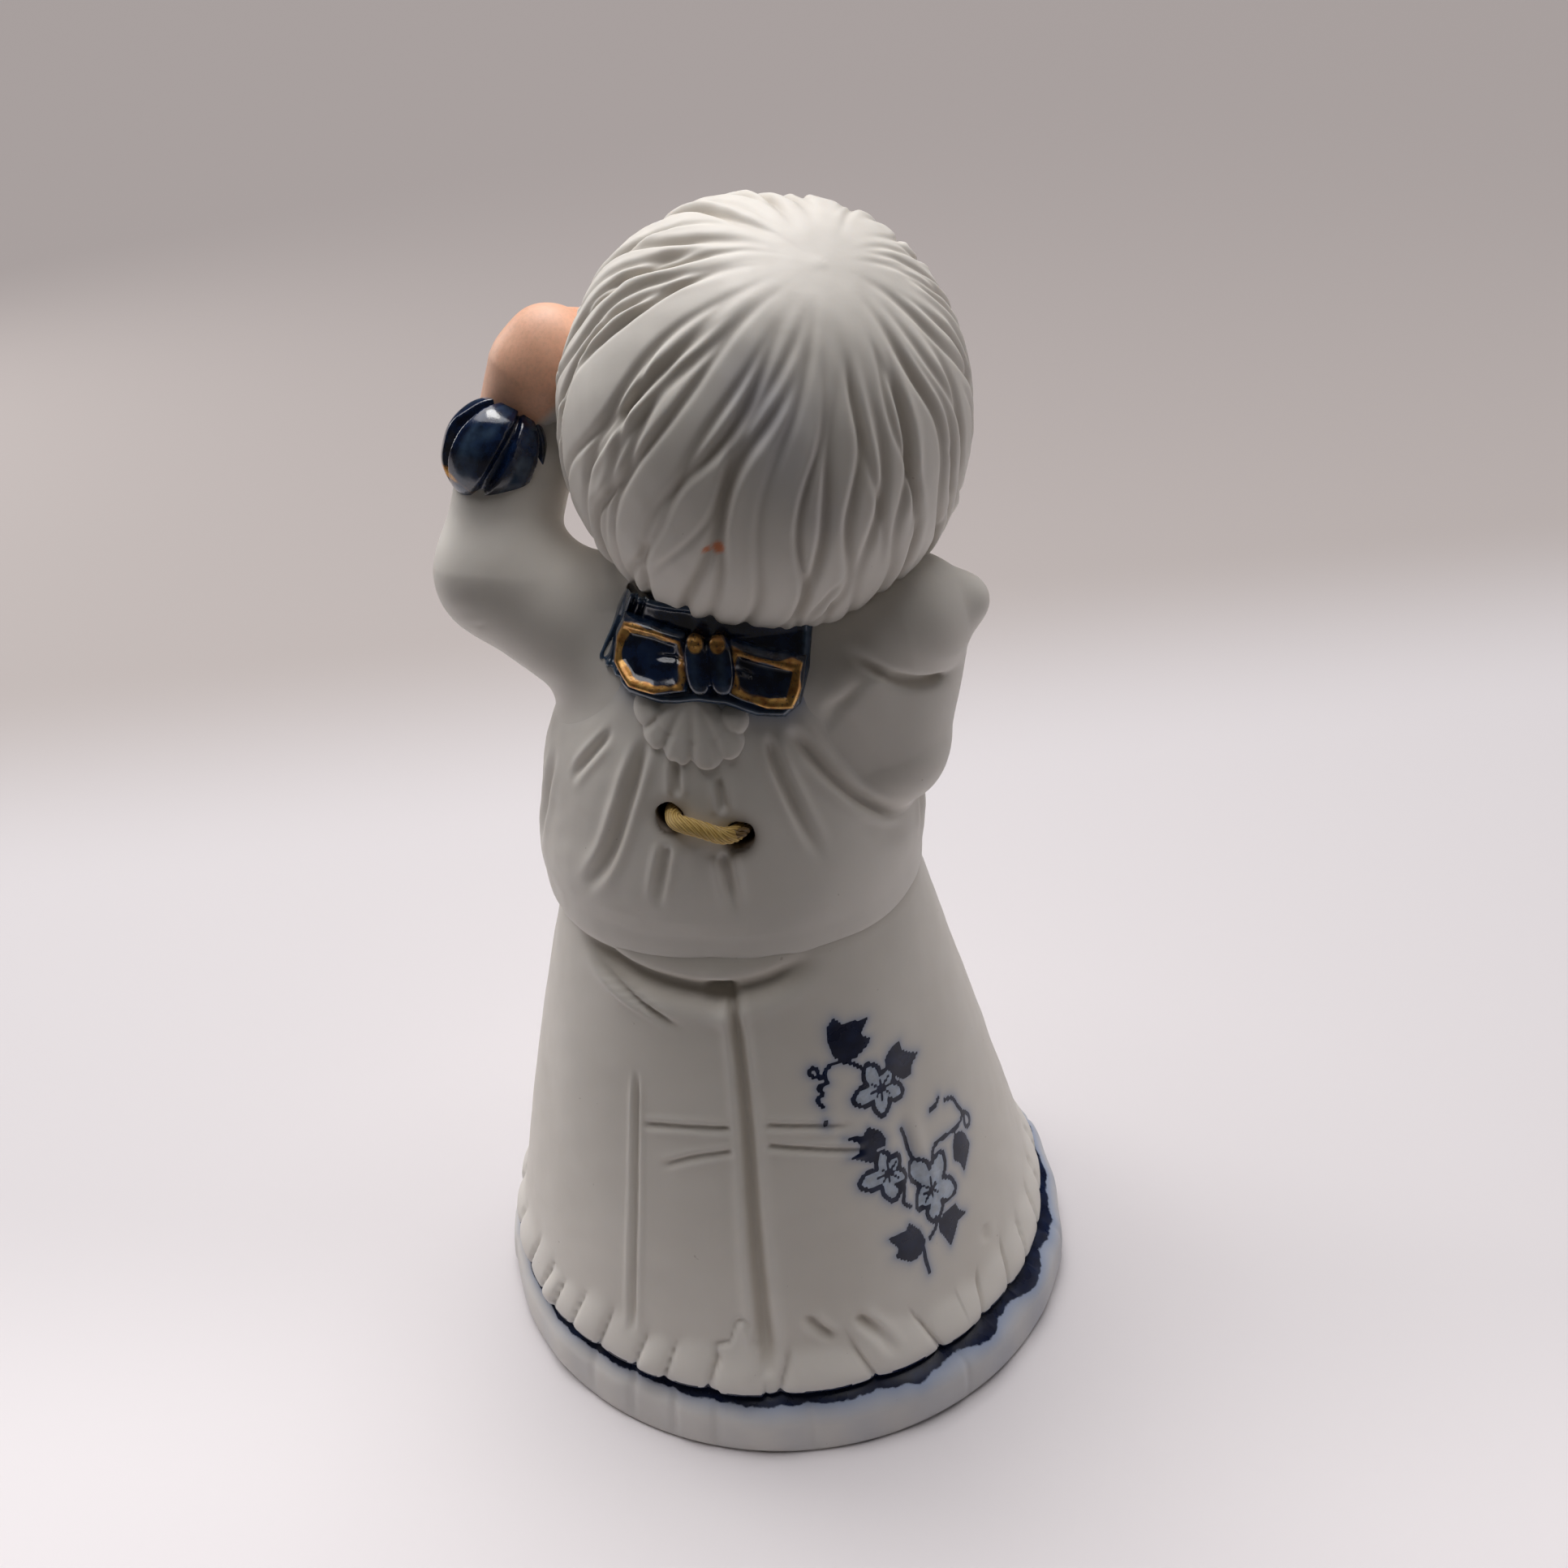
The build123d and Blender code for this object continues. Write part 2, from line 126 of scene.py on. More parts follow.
def line_distance(p: Array, line: Sequence[Sequence[float]]) -> tuple[Array, Array]:
    """How far points lie from a polyline, in any number of dimensions.

    Args:
        p: points, one a row.
        line: the polyline's corners.

    Returns:
        The distance to the nearest point of the line, and how far along the line that is, from 0 to 1.
    """
    corners = np.array(line, float)
    lengths = np.linalg.norm(np.diff(corners, axis=0), axis=1)
    total, start = max(lengths.sum(), 1e-9), 0.0
    best, along = np.full(len(p), 1e9), np.zeros(len(p))
    for a, b, length in zip(corners, corners[1:], lengths):
        t = np.clip((p - a) @ (b - a) / max(length * length, 1e-12), 0.0, 1.0)
        d = np.linalg.norm(p - a - t[:, None] * (b - a), axis=1)
        nearer = d < best
        best = np.where(nearer, d, best)
        along = np.where(nearer, (start + t * length) / total, along)
        start += length
    return best, along


def outline_distance(p: Array, outline: Sequence[Point2]) -> Array:
    """Distance to a closed flat outline, negative inside it."""
    corners = np.array(list(outline) + [outline[0]], float)
    edge, _ = line_distance(p, corners)
    inside = np.zeros(len(p), bool)
    for (x0, y0), (x1, y1) in zip(corners, corners[1:]):
        crosses = (y0 > p[:, 1]) != (y1 > p[:, 1])
        with np.errstate(divide="ignore", invalid="ignore"):
            x = (x1 - x0) * (p[:, 1] - y0) / (y1 - y0 if y1 != y0 else 1e-12) + x0
        inside ^= crosses & (p[:, 0] < x)
    return np.where(inside, -edge, edge)


def rounded_line(corners: Sequence[Sequence[float]], rounds: int = 2) -> Array:
    """An open polyline with its corners cut smooth."""
    line = np.array(corners, float)
    for _ in range(rounds):
        cut = np.stack([line[:-1] * 0.75 + line[1:] * 0.25, line[:-1] * 0.25 + line[1:] * 0.75], 1)
        line = np.vstack([line[:1], cut.reshape(-1, line.shape[1])[1:-1], line[-1:]])
    return line


def clay(p: Array, size: float, seed: int) -> Array:
    """Slow hand-made unevenness, from -1 to 1, the same each time.

    Args:
        p: points, one a row.
        size: how wide one swell is.
        seed: which unevenness.

    Returns:
        One value for each point.
    """
    rng = np.random.default_rng(seed)
    total = np.zeros(len(p))
    for _ in range(7):
        way = rng.normal(size=p.shape[1])
        way *= rng.uniform(0.7, 1.5) * 2 * math.pi / (size * np.linalg.norm(way))
        total += np.sin(p @ way + rng.uniform(0, 2 * math.pi))
    return total / 3.5


def surface_net(form: Form, low: Point3, high: Point3, cell: float) -> tuple[Array, Array]:
    """Meshes the zero surface of a form with even quads.

    Args:
        form: gives each point's distance, negative inside.
        low: the lowest corner of the space it is looked for in.
        high: the highest corner.
        cell: the spacing of the mesh.

    Returns:
        The mesh's points and its quads, facing outwards.
    """
    axes = [np.arange(a, b + cell, cell) for a, b in zip(low, high)]
    grid = np.stack(np.meshgrid(*axes, indexing="ij"), -1)
    shape = grid.shape[:3]
    value = form(grid.reshape(-1, 3)).reshape(shape)
    cells = tuple(n - 1 for n in shape)
    total, count = np.zeros(cells + (3,)), np.zeros(cells)
    crossings = []
    for axis in range(3):
        near = [slice(None)] * 3
        far = [slice(None)] * 3
        near[axis], far[axis] = slice(0, -1), slice(1, None)
        a, b = value[tuple(near)], value[tuple(far)]
        hit = (a < 0) != (b < 0)
        t = np.where(hit, a / np.where(hit, a - b, 1.0), 0.0)
        place = grid[tuple(near)].copy()
        place[..., axis] += t * cell
        crossings.append((hit, a < 0))
        others = [k for k in range(3) if k != axis]
        for i in (0, 1):
            for j in (0, 1):
                take, put = [slice(None)] * 3, [slice(None)] * 3
                for other, step in zip(others, (i, j)):
                    take[other] = slice(step, step + cells[other])
                total[tuple(put)] += place[tuple(take)] * hit[tuple(take)][..., None]
                count[tuple(put)] += hit[tuple(take)]
    used = count > 0
    index = np.full(cells, -1)
    index[used] = np.arange(used.sum())
    points = total[used] / count[used][:, None]
    for _ in range(3):
        step = 0.02
        slope = np.stack([form(points + np.eye(3)[k] * step) - form(points - np.eye(3)[k] * step)
                for k in range(3)], 1) / (2 * step)
        here = form(points)
        move = here / np.maximum((slope * slope).sum(1), 0.2)
        points = points - slope * np.clip(move, -cell, cell)[:, None]
    faces = []
    for axis, (hit, inside) in enumerate(crossings):
        u, v = [(1, 2), (2, 0), (0, 1)][axis]
        spot = np.argwhere(hit)
        ok = (spot[:, u] > 0) & (spot[:, v] > 0) & (spot[:, u] < cells[u]) & (spot[:, v] < cells[v])
        spot = spot[ok]
        ring = []
        for du, dv in ((-1, -1), (0, -1), (0, 0), (-1, 0)):
            at = spot.copy()
            at[:, u] += du
            at[:, v] += dv
            ring.append(index[at[:, 0], at[:, 1], at[:, 2]])
        quad = np.stack(ring, 1)
        outward = inside[spot[:, 0], spot[:, 1], spot[:, 2]]
        quad[~outward] = quad[~outward][:, ::-1]
        faces.append(quad)
    return points, np.vstack(faces)


def lattice_faces(rows: int, columns: int) -> list[tuple[int, ...]]:
    """Quads of a lattice whose columns close round, with row 0 and the last row left open."""
    faces = []
    for r in range(rows - 1):
        for c in range(columns):
            d = (c + 1) % columns
            faces.append((r * columns + c, r * columns + d, (r + 1) * columns + d, (r + 1) * columns + c))
    return faces


def capped(faces: Sequence[Sequence[int]], rows: int, columns: int) -> list[Sequence[int]]:
    """Closes a tube of rows at both ends with fans to two pole points that follow the rows' points."""
    last, pole = (rows - 1) * columns, rows * columns
    fans = [(pole, c, (c + 1) % columns) for c in range(columns)]
    return [*faces, *fans, *((pole + 1, last + (c + 1) % columns, last + c) for c in range(columns))]


def new_object(name: str, points: Array, faces: Sequence[Sequence[int]], material: bpy.types.Material,
        replaces: Sequence[str], body: str = FIGURE) -> bpy.types.Object:
    """Makes a finished piece and puts it on its CAD body.

    Args:
        name: the piece's name.
        points: its points in millimetres.
        faces: its faces, facing outwards.
        material: what it is made of.
        replaces: the CAD nodes it stands for.
        body: the CAD body it rides on.

    Returns:
        The new object.
    """
    mesh = bpy.data.meshes.new(name)
    listed = faces.tolist() if isinstance(faces, np.ndarray) else list(faces)
    mesh.from_pydata((np.asarray(points) * MM).tolist(), [], listed)
    mesh.polygons.foreach_set("use_smooth", [True] * len(mesh.polygons))
    mesh.update()
    obj = bpy.data.objects.new(name, mesh)
    bpy.context.scene.collection.objects.link(obj)
    return settle(obj, material, replaces, body)


def settle(obj: bpy.types.Object, material: bpy.types.Material, replaces: Sequence[str],
        body: str = FIGURE) -> bpy.types.Object:
    """Gives a piece its material and slot, and puts it on its CAD body in place of its nodes."""
    obj.data.materials.clear()
    obj.data.materials.append(material)
    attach(obj, body)
    if replaces:
        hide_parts(*replaces)
    log.info("%s: %d faces for %s", obj.name, len(obj.data.polygons), ", ".join(replaces) or "a detail")
    return obj


def where(obj: bpy.types.Object) -> Array:
    """A piece's points in millimetres."""
    co = np.zeros(len(obj.data.vertices) * 3)
    obj.data.vertices.foreach_get("co", co)
    return co.reshape(-1, 3) / MM


def stain(obj: bpy.types.Object, name: str, channels: Sequence[Array]) -> None:
    """Stores up to three masks on a piece's points as one colour attribute."""
    count = len(obj.data.vertices)
    data = np.zeros((count, 4), np.float32)
    data[:, 3] = 1.0
    for k, channel in enumerate(channels):
        data[:, k] = np.clip(channel, 0.0, 1.0)
    attribute = obj.data.attributes.new(name, "FLOAT_COLOR", "POINT")
    attribute.data.foreach_set("color", data.ravel())


# ------------------------------------------------------------------ finishes
class Net:
    """A material's node tree, with short ways to add and join nodes."""

    def __init__(self, name: str) -> None:
        """Starts an empty material with a Principled shader."""
        self.material = bpy.data.materials.new(name)
        self.material.use_nodes = True
        self.nodes = self.material.node_tree.nodes
        self.links = self.material.node_tree.links
        self.shader = self.nodes["Principled BSDF"]
        self.place = self.nodes.new("ShaderNodeTexCoord").outputs["Object"]

    def join(self, source: bpy.types.NodeSocket, target: bpy.types.NodeSocket) -> None:
        """Links two sockets."""
        self.links.new(source, target)

    def set(self, **values: float | tuple) -> None:
        """Sets constants on the shader, with underscores for the spaces in a socket's name."""
        for key, value in values.items():
            self.shader.inputs[key.replace("_", " ")].default_value = value

    def noise(self, scale: float, detail: float = 3.0, stretch: Point3 = (1, 1, 1),
            roughness: float = 0.5) -> bpy.types.NodeSocket:
        """Noise in object space; scale is swells per millimetre."""
        mapping = self.nodes.new("ShaderNodeMapping")
        mapping.inputs["Scale"].default_value = tuple(1000.0 * scale * s for s in stretch)
        node = self.nodes.new("ShaderNodeTexNoise")
        node.inputs["Scale"].default_value = 1.0
        node.inputs["Detail"].default_value = detail
        node.inputs["Roughness"].default_value = roughness
        self.join(self.place, mapping.inputs["Vector"])
        self.join(mapping.outputs["Vector"], node.inputs["Vector"])
        return node.outputs["Fac"]

    def band(self, value: bpy.types.NodeSocket, low: float, high: float, to_low: float = 0.0,
            to_high: float = 1.0) -> bpy.types.NodeSocket:
        """Maps low..high to to_low..to_high, smoothly and clamped."""
        node = self.nodes.new("ShaderNodeMapRange")
        node.interpolation_type = "SMOOTHSTEP"
        for key, number in zip(("From Min", "From Max", "To Min", "To Max"), (low, high, to_low, to_high)):
            node.inputs[key].default_value = number
        self.join(value, node.inputs["Value"])
        return node.outputs["Result"]

    def math(self, kind: str, a: bpy.types.NodeSocket | float, b: bpy.types.NodeSocket | float,
            clamp: bool = False) -> bpy.types.NodeSocket:
        """A Math node of two values."""
        node = self.nodes.new("ShaderNodeMath")
        node.operation = kind
        node.use_clamp = clamp
        for value, socket in zip((a, b), node.inputs):
            if isinstance(value, (int, float)):
                socket.default_value = value
            else:
                self.join(value, socket)
        return node.outputs["Value"]

    def mix(self, amount: bpy.types.NodeSocket | float, a: bpy.types.NodeSocket | tuple,
            b: bpy.types.NodeSocket | tuple) -> bpy.types.NodeSocket:
        """Mixes two colours."""
        node = self.nodes.new("ShaderNodeMix")
        node.data_type = "RGBA"
        if isinstance(amount, (int, float)):
            node.inputs[0].default_value = amount
        else:
            self.join(amount, node.inputs[0])
        for value, socket in zip((a, b), (node.inputs[6], node.inputs[7])):
            if isinstance(value, tuple):
                socket.default_value = (*value, 1.0) if len(value) == 3 else value
            else:
                self.join(value, socket)
        return node.outputs[2]

    def masks(self, name: str) -> list[bpy.types.NodeSocket]:
        """The three channels of a mask attribute."""
        attribute = self.nodes.new("ShaderNodeAttribute")
        attribute.attribute_name = name
        split = self.nodes.new("ShaderNodeSeparateColor")
        self.join(attribute.outputs["Color"], split.inputs["Color"])
        return [split.outputs[k] for k in ("Red", "Green", "Blue")]

    def bump(self, height: bpy.types.NodeSocket, depth: float, strength: float = 1.0) -> None:
        """Adds relief of a depth in millimetres over what is there already."""
        node = self.nodes.new("ShaderNodeBump")
        node.inputs["Distance"].default_value = depth * MM
        node.inputs["Strength"].default_value = strength
        self.join(height, node.inputs["Height"])
        normal = self.shader.inputs["Normal"]
        if normal.is_linked:
            self.join(normal.links[0].from_socket, node.inputs["Normal"])
        self.join(node.outputs["Normal"], normal)

    def use(self, **sockets: bpy.types.NodeSocket) -> None:
        """Joins sockets to the shader's inputs by name."""
        for key, socket in sockets.items():
            self.join(socket, self.shader.inputs[key.replace("_", " ")])


@dataclass(frozen=True)
class Bisque:
    """Unglazed white porcelain: satin-matte, faintly mottled, with hollows darkened by dirt and painted
    shade, and blue painting.
    """

    white: Point3 = (0.80, 0.762, 0.705)
    # Colour of the darkened hollows, for dirt and painted shade together.
    soil_and_shade: Point3 = (0.50, 0.44, 0.36)
    ink: Point3 = (0.003, 0.006, 0.026)
    wash: Point3 = (0.30, 0.37, 0.47)
    halo: Point3 = (0.13, 0.22, 0.42)
    blot: Point3 = (0.060, 0.028, 0.006)
    roughness: float = 0.56

    def make(self, name: str = "white_bisque") -> bpy.types.Material:
        """Builds the material; masks 'paint' are ink, wash, halo, and the second set of masks are dirt with
        painted shade in the hollows, brown and smudge.
        """
        net = Net(name)
        ink, wash, halo = net.masks("paint")
        soil_and_shade, brown, smudge = net.masks("wear_and_shade")
        mottle = net.noise(0.12, 4.0)
        tone = net.mix(net.band(mottle, 0.35, 0.7), self.white, tuple(c * 0.955 for c in self.white))
        # Hollows are darkened by the first channel of the second mask set: partly dirt, partly painted shade.
        tone = net.mix(net.math("MULTIPLY", soil_and_shade, 0.55), tone, self.soil_and_shade)
        speck = net.band(net.noise(1.3, 1.0), 0.80, 0.82)
        tone = net.mix(net.math("MULTIPLY", speck, 0.35), tone, (0.30, 0.24, 0.19))
        tone = net.mix(net.math("MULTIPLY", smudge, 0.5), tone, (0.30, 0.33, 0.47))
        tone = net.mix(net.math("MULTIPLY", brown, 0.95), tone, self.blot)
        grain = net.noise(1.6, 3.0)
        tone = net.mix(net.math("MULTIPLY", halo, 0.75), tone, self.halo)
        pool = net.mix(net.band(net.noise(1.1, 3.0), 0.35, 0.65), self.wash,
                tuple(c * 1.5 for c in self.wash))
        tone = net.mix(net.math("MULTIPLY", wash, 0.62), tone, pool)
        dense = net.mix(net.band(net.noise(0.55, 4.0), 0.35, 0.75), self.ink, (0.005, 0.014, 0.055))
        ragged = net.math("ADD", ink, net.math("MULTIPLY", net.math("SUBTRACT", net.noise(1.4, 4.0), 0.5),
                0.55))
        inked = net.band(ragged, 0.40, 0.60)
        tone = net.mix(inked, tone, dense)
        painted = net.math("MAXIMUM", inked, wash)
        rough = net.band(net.noise(0.5, 3.0), 0.3, 0.7, self.roughness - 0.05, self.roughness + 0.06)
        rough = net.math("SUBTRACT", rough, net.math("MULTIPLY", painted, 0.26))
        net.use(Base_Color=tone, Roughness=rough)
        net.set(Subsurface_Weight=0.12, Subsurface_Scale=0.0012, Specular_IOR_Level=0.42, IOR=1.5)
        net.shader.inputs["Subsurface Radius"].default_value = (1.0, 0.8, 0.6)
        net.bump(grain, 0.012, 0.5)
        net.bump(net.noise(0.35, 3.0), 0.05, 0.6)
        return net.material


@dataclass(frozen=True)
class CobaltGlaze:
    """Thick cobalt glaze, nearly black where it pools and blue-grey where thin, with worn gilding."""

    pooled: Point3 = (0.0022, 0.0045, 0.018)
    full: Point3 = (0.006, 0.020, 0.068)
    thin: Point3 = (0.055, 0.10, 0.17)
    gold: Point3 = (0.74, 0.42, 0.12)

    def make(self, name: str = "cobalt_glaze") -> bpy.types.Material:
        """Builds the material; masks 'glaze' are thinness, gilding and edge haze."""
        net = Net(name)
        thin, gilt, haze = net.masks("glaze")
        cloud = net.noise(0.55, 5.0, roughness=0.62)
        tone = net.mix(net.band(cloud, 0.38, 0.62), self.pooled, self.full)
        spread = net.math("MULTIPLY", thin, net.band(net.noise(0.8, 4.0), 0.25, 0.7, 0.35, 1.15), clamp=True)
        tone = net.mix(spread, tone, self.thin)
        tone = net.mix(net.math("MULTIPLY", haze, 0.8), tone, (0.36, 0.42, 0.52))
        worn = net.noise(3.2, 5.0, roughness=0.75)
        kept = net.math("MULTIPLY", net.band(gilt, 0.35, 0.62), net.band(worn, 0.36, 0.43), clamp=True)
        tarnish = net.mix(net.band(net.noise(1.3, 3.0), 0.35, 0.7), self.gold, (0.46, 0.20, 0.05))
        tone = net.mix(kept, tone, tarnish)
        rough = net.band(net.noise(1.5, 2.0), 0.3, 0.7, 0.07, 0.16)
        rough = net.math("ADD", rough, net.math("MULTIPLY", kept, 0.26))
        net.use(Base_Color=tone, Roughness=rough, Metallic=net.math("MULTIPLY", kept, 0.85))
        net.set(Specular_IOR_Level=0.6, IOR=1.52, Coat_Weight=0.35, Coat_Roughness=0.05)
        net.bump(net.noise(0.9, 3.0), 0.05, 0.55)
        net.bump(worn, 0.03, 0.35)
        return net.material


@dataclass(frozen=True)
class FleshEnamel:
    """Peach enamel fired on the face and hands, with the features painted over it."""

    peach: Point3 = (0.90, 0.50, 0.335)
    bare: Point3 = (0.78, 0.74, 0.70)
    line: Point3 = (0.045, 0.020, 0.014)
    rose: Point3 = (0.62, 0.10, 0.085)

    def make(self, name: str = "flesh_enamel") -> bpy.types.Material:
        """Builds the material; masks 'face' are line, rose and bare, and 'eyes' are iris, white and glint."""
        net = Net(name)
        dark, rose, bare = net.masks("face")
        iris, white, glint = net.masks("eyes")
        stipple = net.noise(2.6, 3.0, roughness=0.7)
        tone = net.mix(net.band(stipple, 0.35, 0.72), self.peach,
                tuple(min(1.0, c * 0.86) for c in self.peach))
        tone = net.mix(net.band(net.noise(0.18, 3.0), 0.35, 0.7, 0.0, 0.5), tone, (0.93, 0.58, 0.42))
        tone = net.mix(bare, tone, self.bare)
        tone = net.mix(net.math("MULTIPLY", rose, 0.85), tone, self.rose)
        tone = net.mix(white, tone, (0.80, 0.79, 0.78))
        tone = net.mix(iris, tone, (0.035, 0.075, 0.19))
        tone = net.mix(dark, tone, self.line)
        tone = net.mix(glint, tone, (0.92, 0.92, 0.92))
        net.use(Base_Color=tone, Roughness=net.band(net.noise(0.7, 3.0), 0.3, 0.7, 0.38, 0.52))
        net.set(Subsurface_Weight=0.14, Subsurface_Scale=0.0012, Specular_IOR_Level=0.45, IOR=1.5)
        net.shader.inputs["Subsurface Radius"].default_value = (1.0, 0.45, 0.25)
        net.bump(stipple, 0.012, 0.5)
        net.bump(net.noise(0.35, 3.0), 0.05, 0.5)
        return net.material


@dataclass(frozen=True)
class RayonCord:
    """Pale yellow rayon yarn with a silky sheen, browned where it enters the holes."""

    pale: Point3 = (0.86, 0.62, 0.22)
    shade: Point3 = (0.48, 0.28, 0.06)
    brown: Point3 = (0.11, 0.055, 0.016)

    def make(self, name: str = "rayon_cord") -> bpy.types.Material:
        """Builds the material; 'around' runs round each yarn, and 'stained' says where it is brown."""
        net = Net(name)
        around = net.nodes.new("ShaderNodeAttribute")
        around.attribute_name = "around"
        stained = net.nodes.new("ShaderNodeAttribute")
        stained.attribute_name = "stained"
        fibre = net.math("SINE", net.math("MULTIPLY", around.outputs["Fac"], 2 * math.pi * 7), 0.0)
        fibre = net.math("ADD", fibre, net.noise(3.0, 4.0, (1.0, 1.0, 1.0)))
        tone = net.mix(net.band(fibre, -0.8, 1.2), self.shade, self.pale)
        tone = net.mix(net.band(net.noise(0.8, 3.0), 0.45, 0.75, 0.0, 0.35), tone, self.shade)
        tone = net.mix(stained.outputs["Fac"], tone, self.brown)
        net.use(Base_Color=tone)
        net.set(Roughness=0.42, Sheen_Weight=0.35, Sheen_Roughness=0.35, Specular_IOR_Level=0.45)
        net.bump(fibre, 0.03, 0.6)
        return net.material


# ------------------------------------------------------------------ hollow castings about an upright axis
@dataclass(frozen=True)
class Fold:
    """A modelled furrow with a soft lip, drawn over a casting as angle in degrees and height."""

    line: tuple[Point2, ...]
    width: float
    depth: float
    lip: float = 0.3
    fade: tuple[float, float] = (0.25, 0.25)

    def height(self, arc: Array, z: Array, per_degree: float) -> Array:
        """How far the furrow moves the surface outwards.

        Args:
            arc: angle of each point in degrees.
            z: height of each point.
            per_degree: millimetres along the surface for one degree.

        Returns:
            The offset of each point, negative in the furrow.
        """
        p = np.stack([arc * per_degree, z], 1)
        line = rounded_line([(a * per_degree, h) for a, h in self.line])
        d, along = line_distance(p, line)
        lead, tail = (max(f, 0.02) for f in self.fade)
        strength = ease(along, 0.0, lead) * (1.0 - ease(along, 1.0 - tail, 1.0))
        near = d < self.width * 4
        out = np.zeros(len(p))
        w = self.width
        out[near] = (-np.exp(-((d[near] / w) ** 2)) + self.lip * np.exp(-(((d[near] - 1.9 * w) / w) ** 2)))
        return out * strength * self.depth


@dataclass(frozen=True)
class Sprig:
    """The printed blue sprig of ivy leaves, flowers and tendrils on the skirt's back."""

    angle: float = 131.1
    height: float = 31.55
    line_half: float = 0.22
    leaves: tuple[tuple[Point2, ...], ...] = (
        ((-3.9, 16.9), (-4.8, 16.1), (-5.1, 14.6), (-4.9, 12.8), (-4.1, 12.0), (-2.8, 11.8), (-0.7, 12.8),
         (-0.4, 13.3), (-1.4, 14.1), (-0.1, 15.5), (-1.6, 15.8), (-3.0, 15.8), (-3.4, 16.4)),
        ((3.1, 11.2), (1.7, 11.1), (0.7, 10.3), (0.6, 9.3), (1.6, 7.9), (2.3, 7.1), (3.7, 7.0), (4.1, 7.9),
         (5.4, 8.6), (4.2, 9.3), (3.2, 10.2)),
        ((-3.1, 3.9), (-3.8, 3.3), (-4.8, 3.4), (-6.0, 3.6), (-4.7, 2.8), (-4.4, 1.9), (-4.8, 1.3),
         (-6.0, 1.3),
         (-5.0, 0.7), (-3.7, -0.2), (-3.0, 0.1), (-2.7, 1.1), (-1.7, 0.9), (-1.4, 1.8), (-1.8, 2.9)),
        ((8.1, -3.1), (7.4, -4.2), (7.0, -5.8), (7.9, -6.7), (8.3, -8.1), (9.3, -7.1), (10.4, -6.0),
         (10.0, -4.5),
         (9.4, -3.6)),
        ((5.7, -10.5), (4.0, -10.4), (2.7, -10.9), (2.5, -12.0), (3.1, -13.4), (3.6, -14.7), (4.6, -13.7),
         (5.5, -12.6), (7.0, -12.5), (6.0, -11.5)),
        ((-1.1, -8.9), (-1.8, -9.6), (-2.6, -9.5), (-4.0, -9.7), (-3.2, -10.9), (-3.1, -11.4), (-3.7, -12.0),
         (-2.1, -13.4), (-1.1, -13.4), (-0.1, -12.9), (0.4, -12.0), (0.0, -10.3)),
    )
    flowers: tuple[tuple[Point2, tuple[Point2, ...]], ...] = (
        ((-0.5, 7.5), ((-1.8, 10.9), (1.6, 9.2), (2.2, 5.5), (-1.2, 4.2), (-4.3, 7.3))),
        ((-2.0, -2.1), ((-2.5, 0.8), (-0.3, -0.5), (0.0, -3.9), (-2.2, -5.8), (-5.9, -2.3))),
        ((2.8, -6.7), ((1.1, -2.2), (5.6, -3.4), (6.5, -9.2), (2.4, -11.0), (0.3, -8.2))),
    )
    tendrils: tuple[tuple[Point2, ...], ...] = (
        ((-2.3, 10.7), (-3.2, 11.6), (-4.3, 12.1), (-5.3, 12.1), (-6.1, 11.6), (-6.3, 11.0), (-6.2, 10.2)),
        ((-6.4, 10.9), (-7.4, 11.1), (-7.9, 11.7), (-7.5, 12.2), (-6.9, 12.1), (-6.9, 11.6)),
        ((-6.2, 10.2), (-7.5, 10.0), (-6.8, 9.1), (-7.9, 8.7), (-7.3, 7.7)),
        ((-7.5, 6.2), (-7.4, 5.6)),
        ((7.8, 1.3), (9.3, 0.7), (9.7, -0.6), (10.4, -1.8), (9.7, -2.6), (8.0, -2.7), (6.1, -2.3),
         (4.7, -2.3),
         (4.0, -3.0), (3.8, -4.0)),
        ((6.9, 2.2), (6.2, 1.6), (5.2, 1.6)),
        ((10.6, -2.0), (11.5, -2.9), (11.4, -4.0), (10.5, -4.0), (10.2, -3.2), (10.6, -2.0)),
        ((0.8, 1.8), (1.1, 0.6), (1.1, -0.9), (1.4, -2.3)),
        ((2.5, -10.2), (2.3, -11.3), (1.0, -12.0)),
        ((-0.1, -12.9), (-0.2, -14.0), (-0.1, -15.8)),
        ((-0.6, -4.4), (-0.9, -5.4), (-1.3, -6.3), (-0.4, -7.2)),
    )

    def petals(self, heart: Point2, tips: Sequence[Point2]) -> Array:
        """The closed outline of a flower whose round-shouldered petals end at the tips, taken clockwise."""
        middle, ways = np.array(heart), np.array(tips) - np.array(heart)
        line = []
        for before, way, after in zip(np.roll(ways, 1, 0), ways, np.roll(ways, -1, 0)):
            across = np.array([way[1], -way[0]])
            line += [middle + 0.30 * (before + way), middle + 0.66 * way - 0.30 * across,
                    middle + way, middle + 0.66 * way + 0.30 * across, middle + 0.30 * (way + after)]
        return rounded_line(line + line[:1], 1)

